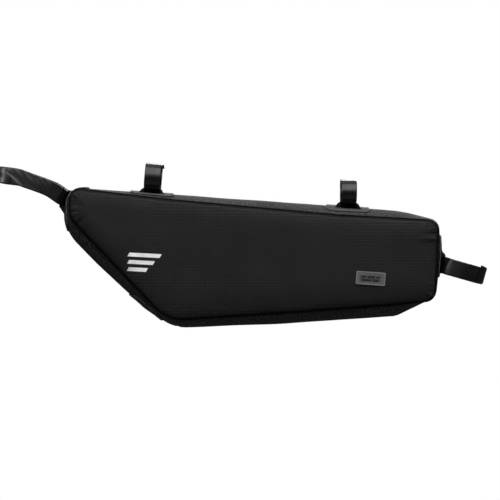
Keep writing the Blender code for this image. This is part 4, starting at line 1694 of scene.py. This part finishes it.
    def build_strap(self, anchor: Anchor, strap: Strap) -> bpy.types.Object:
        """Build one strap as a band wound into a loop, and return its object."""
        route = self.route_points(anchor, strap)
        line, lap_start = self.loop_line(strap)
        section = self.section()
        mirror = -strap.end_side.value
        rings = np.empty((len(line), len(section), 3))
        rim = np.empty(rings.shape[:2])
        along = [0.0]
        for i, point in enumerate(line):
            if i:
                along.append(along[-1] + (point - line[i - 1]).length)
            ahead = flat_direction(line[max(i - 1, 0)], line[min(i + 1, len(line) - 1)])
            place, direction = self.on_route(route, point.x)
            across = turned(direction, -math.pi / 2)
            slip = strap.skew * max(0, i - lap_start) / (len(line) - 1 - lap_start)
            thick = in_space(direction * -ahead.y, ahead.x * mirror).normalized()
            wide = in_space(across, 0.0)
            centre = in_space(place + across * slip, point.y * mirror)
            for column, (u, v) in enumerate(section):
                aside = u * self.strap_width * strap.width / 2
                selvedge = 0.10 * MM * math.exp(-((abs(u) - 0.86) / 0.05) ** 2)
                swell = v * (self.strap_thickness / 2 - 0.08 * MM + selvedge)
                crease = self.crease(strap, point, aside) + self.bulged(strap, point)
                rings[i, column] = centre + wide * aside + thick * (swell + crease)
                rim[i, column] = math.exp(-((abs(u) - 0.93) / 0.05) ** 2)
        half = self.strap_width * strap.width / 2
        across_map = [half * u for u, _ in section] + [half * section[0][0]]
        surface = loft(rings, along, across_map, closed=False, rim=rim)
        finish = self.satin if strap.satin else self.webbing
        piece = make_piece(strap.name + "_webbing", surface, finish, 50.0)
        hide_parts(strap.name)
        return piece

    def bulged(self, strap: Strap, point: Vector) -> float:
        """Return how far the flat run of a strap bows out at a place."""
        half = self.strap_half(strap)
        share = min(max(point.x / strap.reach, 0.0), 1.0)
        beside = eased((abs(point.y) / half - 0.3) / 0.7)
        return strap.bulge * beside * math.sin(math.pi * share) ** 2 * math.copysign(1, -point.y)

    def crease(self, strap: Strap, point: Vector, aside: float) -> float:
        """Return how far a strap's cloth stands off its middle line at a place."""
        away = eased((point.x - 16 * MM) / (14 * MM))
        lean = point.x * 60 + aside * 75 * math.copysign(1, point.y)
        folds = drift(lean, point.x * 18, 4.0) + 0.5 * drift(2.1 * lean, aside * 90, 8.0)
        pleat = abs(drift(3.4 * lean, point.x * 12, 2.0)) ** 0.7
        folds += 0.9 * pleat * (0.5 + 0.5 * drift(point.x * 40, aside * 30, 6.0))
        cup = 0.25 * (aside / (self.strap_width / 2)) ** 2
        beside = 1.0 if abs(point.y) > 6 * MM else 0.0
        return strap.crease * away * beside * (folds - cup)

    def build(self) -> None:
        """Build every patch, its stitches and every strap."""
        for anchor in ANCHORS:
            self.build_patch(anchor)
            self.build_slot_shade(anchor)
            self.build_edge(anchor)
            self.stitches.build(anchor.name + "_stitches", self.sew_patch(anchor), "anchor_cloth")
        for strap in STRAPS:
            anchor = next(anchor for anchor in ANCHORS if anchor.name == strap.anchor)
            self.build_wedge(anchor, strap)
            self.build_strap(anchor, strap)


def rounded_rectangle(width: float, height: float, radius: float, step: float) -> np.ndarray:
    """Return the loop of a rectangle with round corners about its centre, anticlockwise."""
    points = []
    centres = (
        (width / 2 - radius, height / 2 - radius, 0),
        (radius - width / 2, height / 2 - radius, 1),
        (radius - width / 2, radius - height / 2, 2),
        (width / 2 - radius, radius - height / 2, 3),
    )
    for x, z, quarter in centres:
        for index in range(7):
            angle = math.pi / 2 * (quarter + index / 6)
            points.append((x + radius * math.cos(angle), z + radius * math.sin(angle)))
    return resampled(np.array(points), step)


def resampled(loop: np.ndarray, step: float) -> np.ndarray:
    """Return a loop with further points on its long edges."""
    points = []
    for start, end in zip(loop, np.roll(loop, -1, axis=0)):
        steps = max(1, round(float(np.linalg.norm(end - start)) / step))
        points += [start + (end - start) * index / steps for index in range(steps)]
    return np.array(points)


def tilted(flats: np.ndarray, centre: Vector, tilt: float) -> np.ndarray:
    """Return flat points turned by a tilt and moved to a centre."""
    cosine, sine = math.cos(tilt), math.sin(tilt)
    return flats @ np.array(((cosine, sine), (-sine, cosine))) + np.array(centre)


class LabelBar(NamedTuple):
    """One plain bar on the label, by its middle and its length."""

    x: float
    z: float
    length: float


LABEL_BARS = (
    LabelBar(-8.6 * MM, 1.5 * MM, 5.6 * MM),
    LabelBar(0.4 * MM, 1.5 * MM, 9.0 * MM),
    LabelBar(8.6 * MM, 1.5 * MM, 4.4 * MM),
    LabelBar(-5.0 * MM, -2.2 * MM, 12.0 * MM),
    LabelBar(6.0 * MM, -2.2 * MM, 8.0 * MM),
)


@dataclass
class Badges:
    """The plain label and the plain reflective mark on the front panel."""

    panel: SidePanel
    rubber: bpy.types.Material
    dark_rubber: bpy.types.Material
    reflective: bpy.types.Material
    label_width: float = 34.5 * MM
    label_height: float = 15.5 * MM
    label_thickness: float = 1.0 * MM
    label_place: tuple[float, float] = (0.8085, 0.3533)
    label_tilt: float = math.radians(-4.2)
    mark_place: tuple[float, float] = (0.2140, 0.4650)
    mark_tilt: float = math.radians(-3.0)
    bar_length: float = 38 * MM
    bar_height: float = 4.6 * MM
    bar_pitch: float = 8.6 * MM
    bar_slant: float = 2.4 * MM

    def placer(self, place: tuple[float, float], tilt: float) -> Lay:
        """Return a function that lays flat points on the panel round a place."""
        centre = self.panel.shape.on_bag(*place)
        return lambda flats, height: self.panel.place(tilted(flats, centre, tilt), height)

    def build_label(self) -> None:
        """Build the label: its plate, its raised frame, a fine inner line and plain bars."""
        lay = self.placer(self.label_place, self.label_tilt)
        gap, top = self.panel.shape.gap, self.panel.shape.gap + self.label_thickness
        width, height = self.label_width, self.label_height
        outer = rounded_rectangle(width, height, 1.2 * MM, 1.0 * MM)
        base = plate([outer], 1.2 * MM, gap * 0.3, top - 0.35 * MM, lay)
        frame_hole = rounded_rectangle(width - 2.6 * MM, height - 2.6 * MM, 0.7 * MM, 1.0 * MM)
        frame = plate([outer, frame_hole], 1.0 * MM, top - 0.4 * MM, top, lay, 0.12 * MM)
        base.rim[:] = 0.0
        frame.rim[:] = 1.0
        line_outer = rounded_rectangle(width - 5.2 * MM, height - 5.2 * MM, 0.5 * MM, 1.0 * MM)
        line_inner = rounded_rectangle(width - 6.2 * MM, height - 6.2 * MM, 0.4 * MM, 1.0 * MM)
        line = plate([line_outer, line_inner], 1.0 * MM, top - 0.4 * MM, top - 0.1 * MM, lay)
        line.rim[:] = 1.0
        piece = make_piece(
            "label_plate", Surface.joined([base, frame, line]), self.rubber, 35.0
        )
        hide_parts("label_patch")
        bars = []
        for x, z, length in LABEL_BARS:
            slanted = self.bar(length, 2.7 * MM, 0.7 * MM, 0.5 * MM) + (x, z)
            bars.append(plate([slanted], 0.8 * MM, top - 0.4 * MM, top - 0.05 * MM, lay, 0.06 * MM))
        make_piece("label_bars", Surface.joined(bars), self.dark_rubber, 35.0)

    @staticmethod
    def bar(length: float, height: float, slant: float, step: float) -> np.ndarray:
        """Return the loop of a bar with slanted ends about its centre."""
        corners = np.array((
            (-length / 2 - slant / 2, -height / 2), (length / 2 - slant / 2, -height / 2),
            (length / 2 + slant / 2, height / 2), (-length / 2 + slant / 2, height / 2),
        ))
        return resampled(corners, step)

    def build_mark(self) -> None:
        """Build the reflective mark: three slanted bars, each shorter than the one above."""
        lay = self.placer(self.mark_place, self.mark_tilt)
        bars = []
        for row, share in enumerate((1.0, 0.8, 0.6)):
            length = self.bar_length * share
            loop = self.bar(length, self.bar_height, self.bar_slant, 1.0 * MM)
            shift = (self.bar_length - length) / -2
            loop = loop + (shift, (1 - row) * self.bar_pitch)
            bars.append(plate([loop], 1.2 * MM, 0.02 * MM, 0.22 * MM, lay, 0.05 * MM))
        make_piece("reflective_bars", Surface.joined(bars), self.reflective, 40.0)

    def build(self) -> None:
        """Build both."""
        self.build_label()
        self.build_mark()


@dataclass
class Closure:
    """The zip in the back panel: tape, coil, slider, pull and the stitches beside it."""

    shape: BagShape
    tape_finish: bpy.types.Material
    coil_finish: bpy.types.Material
    metal: bpy.types.Material
    cord_finish: bpy.types.Material
    stitches: Stitches
    end_margin: float = 56 * MM
    width: float = 9 * MM
    below_seam: float = 25 * MM
    sink: float = 0.8 * MM
    tooth_pitch: float = 1.5 * MM
    tooth_reach: float = 1.9 * MM
    tooth_radius: float = 0.42 * MM
    slider_length: float = 11 * MM
    slider_width: float = 7.2 * MM

    def length(self) -> float:
        """Return the closure's length, the top seam's less a margin at each end."""
        run = self.shape.seam_corner("tail_top") - self.shape.seam_corner("nose_top")
        return run.length - 2 * self.end_margin

    def middle(self) -> tuple[Vector, float]:
        """Return the closure's flat middle and its tilt."""
        front, rear = self.shape.seam_corner("top_front"), self.shape.seam_corner("top_rear")
        tilt = math.atan2(rear.y - front.y, rear.x - front.x)
        return front.lerp(rear, 0.5) - Vector((0.0, self.below_seam)), tilt

    def flat(self, flats: np.ndarray) -> np.ndarray:
        """Return side-view points from points in the closure's own frame."""
        return tilted(flats, *self.middle())

    def hole(self) -> np.ndarray:
        """Return the flat loop of the opening in the panel."""
        loop = rounded_rectangle(
            self.length() + 2 * self.shape.gap, self.width + 2 * self.shape.gap,
            self.width / 2, 1.5 * MM,
        )
        return self.flat(loop)

    def placer(self, panel: SidePanel) -> Lay:
        """Return a function that lays points of the closure's frame on a panel."""
        return lambda flats, height: panel.place(self.flat(flats), height)

    def build(self, panel: SidePanel) -> None:
        """Build every piece of the closure in a panel."""
        lay = self.placer(panel)
        length = self.length()
        slit = rounded_rectangle(length, self.width, self.width / 2 - 0.1 * MM, 1.5 * MM)
        tape = plate([slit], 1.5 * MM, -self.sink - 1.2 * MM, -self.sink, lay)
        piece = make_piece("zip_tape", tape, self.tape_finish, 40.0)
        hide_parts("zip")
        make_piece("zip_coil", self.coil(lay), self.coil_finish, 60.0)
        make_piece("zip_slider", self.slider(lay), self.metal, 45.0)
        make_piece("zip_pull", self.pull(lay), self.cord_finish, 50.0)
        rows = []
        for sign in (1, -1):
            offset = sign * (self.width / 2 + 2.4 * MM)
            rows += self.sew(panel, lay, -length / 2, length / 2, offset, offset)
        for end in (-1, 1):
            x = end * (length / 2 + 2.2 * MM)
            rows += self.sew(panel, lay, x, x, -self.width / 2, self.width / 2)
        self.stitches.build("zip_stitches", rows, "zip_tape")

    def sew(
        self, panel: SidePanel, lay: Lay, x: float, far_x: float, z: float, far_z: float
    ) -> list[Surface]:
        """Return a straight row of stitches on the panel."""
        steps = max(2, int(max(abs(far_x - x), abs(far_z - z)) / (1.5 * MM)))
        shares = np.linspace(0, 1, steps)
        flats = np.column_stack((x + (far_x - x) * shares, z + (far_z - z) * shares))
        points = lay(flats, 0.0)
        up = Vector((0.0, panel.side.value, 0.0))
        return self.stitches.row([(Vector(point), up) for point in points])

    def coil(self, lay: Lay) -> Surface:
        """Return the closed coil as teeth from both sides, each a short bent rod."""
        stations = ((-1.0, 0.35), (-0.5, 0.85), (0.2, 1.0), (0.9, 0.9), (1.1, 0.45))
        sides = 6
        length = self.length() - 10 * MM
        count = int(length / self.tooth_pitch)
        flats, heights = [], []
        for index in range(count):
            x = -length / 2 + length * (index + 0.5) / count
            side = 1 if index % 2 else -1
            for share, size in stations:
                z = side * self.tooth_reach * (share * 0.62 + 0.12)
                for column in range(sides):
                    angle = math.tau * column / sides
                    flats.append((x + self.tooth_radius * size * math.cos(angle), z))
                    lift = 0.8 + 1.3 * size * math.sin(angle)
                    heights.append(self.tooth_radius * lift - self.sink)
        teeth = lay(np.array(flats), np.array(heights)).reshape(count, len(stations), sides, 3)
        along = [share * self.tooth_reach for share, _ in stations]
        across = [column * self.tooth_radius for column in range(sides + 1)]
        return Surface.joined([loft(rings, along, across, closed=False) for rings in teeth])

    def slider(self, lay: Lay) -> Surface:
        """Return the slider: a waisted body and the bridge that holds the pull."""
        x = self.length() / 2 - self.slider_length
        body = []
        steps = 28
        for index in range(steps):
            angle = math.tau * index / steps
            waist = 1 - 0.22 * math.cos(angle) ** 2 * (1 if math.cos(angle) < 0 else 0.2)
            body.append((
                self.slider_length / 2 * signed_power(math.cos(angle), 0.7),
                self.slider_width / 2 * signed_power(math.sin(angle), 0.6) * waist,
            ))
        outline = np.array(body) + (x, 0.0)
        base = plate([outline], 1.5 * MM, -self.sink + 0.9 * MM, 1.6 * MM, lay, 0.35 * MM)
        sides = 10
        arch = []
        for step in range(13):
            angle = math.pi * step / 12
            arch.append((x - 3.6 * MM * math.cos(angle), 1.3 * MM + 2.6 * MM * math.sin(angle)))
        flats, heights = [], []
        for place, height in arch:
            for column in range(sides):
                angle = math.tau * column / sides
                flats.append((place, 1.1 * MM * math.cos(angle)))
                heights.append(height + 0.55 * MM * math.sin(angle))
        rings = lay(np.array(flats), np.array(heights)).reshape(len(arch), sides, 3)
        along = [step * MM for step in range(len(arch))]
        across = [column * 0.4 * MM for column in range(sides + 1)]
        return Surface.joined([base, loft(rings, along, across, closed=False)])

    def pull(self, lay: Lay) -> Surface:
        """Return the pull, a flat ribbed tab with a hole at its slider end."""
        x = self.length() / 2 - self.slider_length - 13.5 * MM
        outer = rounded_rectangle(25 * MM, 6 * MM, 2.6 * MM, 1.0 * MM) + (x, 0.0)
        hole = rounded_rectangle(3.4 * MM, 2.6 * MM, 1.2 * MM, 0.8 * MM) + (x + 9.4 * MM, 0.0)
        parts = [plate([outer, hole], 1.2 * MM, 2.0 * MM, 3.2 * MM, lay, 0.3 * MM)]
        for index in range(6):
            rib = rounded_rectangle(1.1 * MM, 4.2 * MM, 0.4 * MM, 0.8 * MM)
            rib = rib + (x - 8.5 * MM + index * 2.3 * MM, 0.0)
            parts.append(plate([rib], 1.0 * MM, 3.1 * MM, 3.5 * MM, lay, 0.15 * MM))
        return Surface.joined(parts)


class StudioLight(NamedTuple):
    """One soft rectangular light: its place, size, power in watts and what it lights."""

    name: str
    place: tuple[float, float, float]
    size: tuple[float, float]
    power: float
    glossy: bool
    diffuse: bool


LIGHTS = (
    StudioLight("overhead", (0.0, -0.75, 1.35), (1.8, 0.9), 38.0, False, True),
    StudioLight("front", (-0.3, -1.1, 1.7), (1.6, 1.0), 10.0, False, True),
    StudioLight("left", (-1.6, -0.9, 0.4), (0.7, 0.9), 11.0, True, False),
    StudioLight("sheen", (0.0, -1.5, 0.85), (1.8, 0.6), 11.0, True, False),
    StudioLight("behind", (0.4, 1.9, 0.7), (1.6, 1.0), 34.0, True, True),
)


@dataclass
class Studio:
    """The camera of the photograph, the floor and soft lights."""

    camera_place: tuple[float, float, float] = (-1.2 * MM, -2.0, -79.5 * MM)
    lens: float = 120.4
    sensor: float = 36.0
    floor_z: float = -0.75
    floor_size: float = 60.0
    aim: tuple[float, float, float] = (0.0, 0.0, -0.08)

    def build_camera(self) -> None:
        """Place the camera level, looking along +Y."""
        camera = bpy.data.cameras.new("camera")
        camera.lens, camera.sensor_width = self.lens, self.sensor
        camera.clip_end = 200
        placed = bpy.data.objects.new("camera", camera)
        placed.location = self.camera_place
        placed.rotation_euler = (math.pi / 2, 0, 0)
        bpy.context.scene.collection.objects.link(placed)
        bpy.context.scene.camera = placed

    def build_floor(self) -> None:
        """Lay a wide pale floor."""
        half = self.floor_size / 2
        mesh = bpy.data.meshes.new("floor")
        corners = [(-half, -half), (half, -half), (half, half), (-half, half)]
        mesh.from_pydata([(x, y, self.floor_z) for x, y in corners], [], [(0, 1, 2, 3)])
        floor = bpy.data.objects.new("floor", mesh)
        bpy.context.scene.collection.objects.link(floor)
        finish = bpy.data.materials.new("pale_floor")
        finish.use_nodes = True
        graph = Graph(finish.node_tree)
        shader = finish.node_tree.nodes["Principled BSDF"]
        place = graph.node("ShaderNodeTexCoord").outputs["Object"]
        uneven = graph.noise(place, 3.0, 3.0)
        graph.feed(shader.inputs["Base Color"], graph.mixed(uneven, (0.10,) * 3, (0.12,) * 3))
        graph.fill(shader, {"Roughness": 0.9})
        output = finish.node_tree.nodes["Material Output"]
        self.show_white(graph, shader, graph.node("ShaderNodeEmission"), output)
        mesh.materials.append(finish)

    def build_world(self) -> None:
        """Make the surroundings white to the eye and dimmer, from above, as light."""
        world = bpy.data.worlds.new("studio")
        world.use_nodes = True
        bpy.context.scene.world = world
        graph = Graph(world.node_tree)
        world.node_tree.nodes.clear()
        parts = graph.split(graph.node("ShaderNodeTexCoord").outputs["Generated"])
        height = graph.stretched(parts["Z"], -0.1, 1.0)
        light, white = (graph.node("ShaderNodeBackground") for _ in range(2))
        graph.feed(light.inputs[0], graph.mixed(height, (0.02, 0.02, 0.021), (0.80, 0.81, 0.83)))
        self.show_white(graph, light, white, graph.node("ShaderNodeOutputWorld"))

    @staticmethod
    def show_white(
        graph: Graph, light: bpy.types.Node, white: bpy.types.Node, output: bpy.types.Node
    ) -> None:
        """Show plain white to the camera, and a shader of its own to every other ray."""
        graph.fill(white, {"Color": (1.0, 1.0, 1.0, 1.0)})
        seen = graph.node("ShaderNodeMixShader")
        graph.feed(seen.inputs[0], graph.node("ShaderNodeLightPath").outputs["Is Camera Ray"])
        graph.feed(seen.inputs[1], light.outputs[0])
        graph.feed(seen.inputs[2], white.outputs[0])
        graph.feed(output.inputs[0], seen.outputs[0])

    def hang(self, light: StudioLight) -> None:
        """Hang one light so that it faces the bag."""
        lamp = bpy.data.lights.new(light.name, "AREA")
        lamp.shape, lamp.size, lamp.size_y, lamp.energy = "RECTANGLE", *light.size, light.power
        hung = bpy.data.objects.new(light.name, lamp)
        hung.location = light.place
        direction = Vector(self.aim) - Vector(light.place)
        hung.rotation_euler = direction.to_track_quat("-Z", "Y").to_euler()
        hung.visible_camera = False
        hung.visible_glossy, hung.visible_diffuse = light.glossy, light.diffuse
        bpy.context.scene.collection.objects.link(hung)

    def build(self) -> None:
        """Build the whole studio."""
        self.build_camera()
        self.build_floor()
        self.build_world()
        for light in LIGHTS:
            self.hang(light)
        bpy.context.scene.view_settings.view_transform = "Standard"
        bpy.context.scene.view_settings.look = "None"


def main() -> None:
    """Build the studio and every sub-assembly of the bag."""
    logging.basicConfig(level=logging.INFO, format="%(name)s %(message)s")
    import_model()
    Studio().build()
    effects = Effects()
    effects.build()

    shape = BagShape()
    panel_cloth = CheckedCloth("panel_cloth", (0.020, 0.020, 0.0204), 0.62).build(effects)
    # The gusset's rim tone of 0.06 paints shade along its seams.
    gusset_cloth = PlainCloth(
        "gusset_cloth", (0.043, 0.043, 0.0435), 0.8, blotch=0.85, rim_tone=0.06
    ).build(effects)
    # The patches' rim tone of 1.8 paints a highlight along their edges.
    patch_cloth = PlainCloth(
        "patch_cloth", (0.056, 0.056, 0.057), 0.62, blotch=0.35, rim_tone=1.8, pitch=0.6 * MM
    ).build(effects)
    webbing = Webbing("strap_webbing", (0.0022, 0.0024, 0.0027), 0.25).build(effects)
    satin = Webbing("strap_satin", (0.005, 0.0053, 0.0058), 0.30, specular=0.65).build(effects)
    thread = Thread("sewing_thread", (0.010, 0.010, 0.010), 0.5).build(effects)
    pale_thread = Thread("seam_thread", (0.035, 0.035, 0.036), 0.6).build(effects)
    # Near-black cloth: the piping's own black in part, and painted shade in the seam ditches, under
    # the straps, in the slots and round the patches.
    piping = Thread(
        "piping_cloth", (0.002, 0.002, 0.002), 0.85, twist=1.6 * MM, specular=0.04
    ).build(effects)
    tape = PlainCloth("zip_tape", (0.015, 0.015, 0.016), 0.6, pitch=0.5 * MM).build(effects)
    coil = Moulded("zip_coil", (0.012, 0.012, 0.013), 0.3).build(effects)
    metal = Moulded("slider_metal", (0.05, 0.05, 0.052), 0.35, metallic=0.7).build(effects)
    rubber = Moulded("label_rubber", (0.070, 0.070, 0.070), 0.55, rim_tone=3.4).build(effects)
    dark = Moulded("label_dark", (0.003, 0.003, 0.003), 0.6).build(effects)
    film = Moulded("reflective_film", (0.88, 0.88, 0.88), 0.45, rim_tone=0.95).build(effects)

    front = SidePanel(shape, Side.FRONT, 11, panel_cloth)
    front.build()
    front.sew_top(Stitches(pale_thread, radius=0.2 * MM), 3.6 * MM)
    back = SidePanel(shape, Side.BACK, 23, panel_cloth)
    closure = Closure(shape, tape, coil, metal, webbing, Stitches(thread))
    back.build([closure.hole()])
    closure.build(back)
    Gusset(shape, gusset_cloth).build()
    for side in Side:
        SeamPiping(shape, piping).build(side)
    Harness(shape, patch_cloth, piping, webbing, satin, Stitches(thread)).build()
    Badges(front, rubber, dark, film).build()


if __name__ == "__main__":
    main()
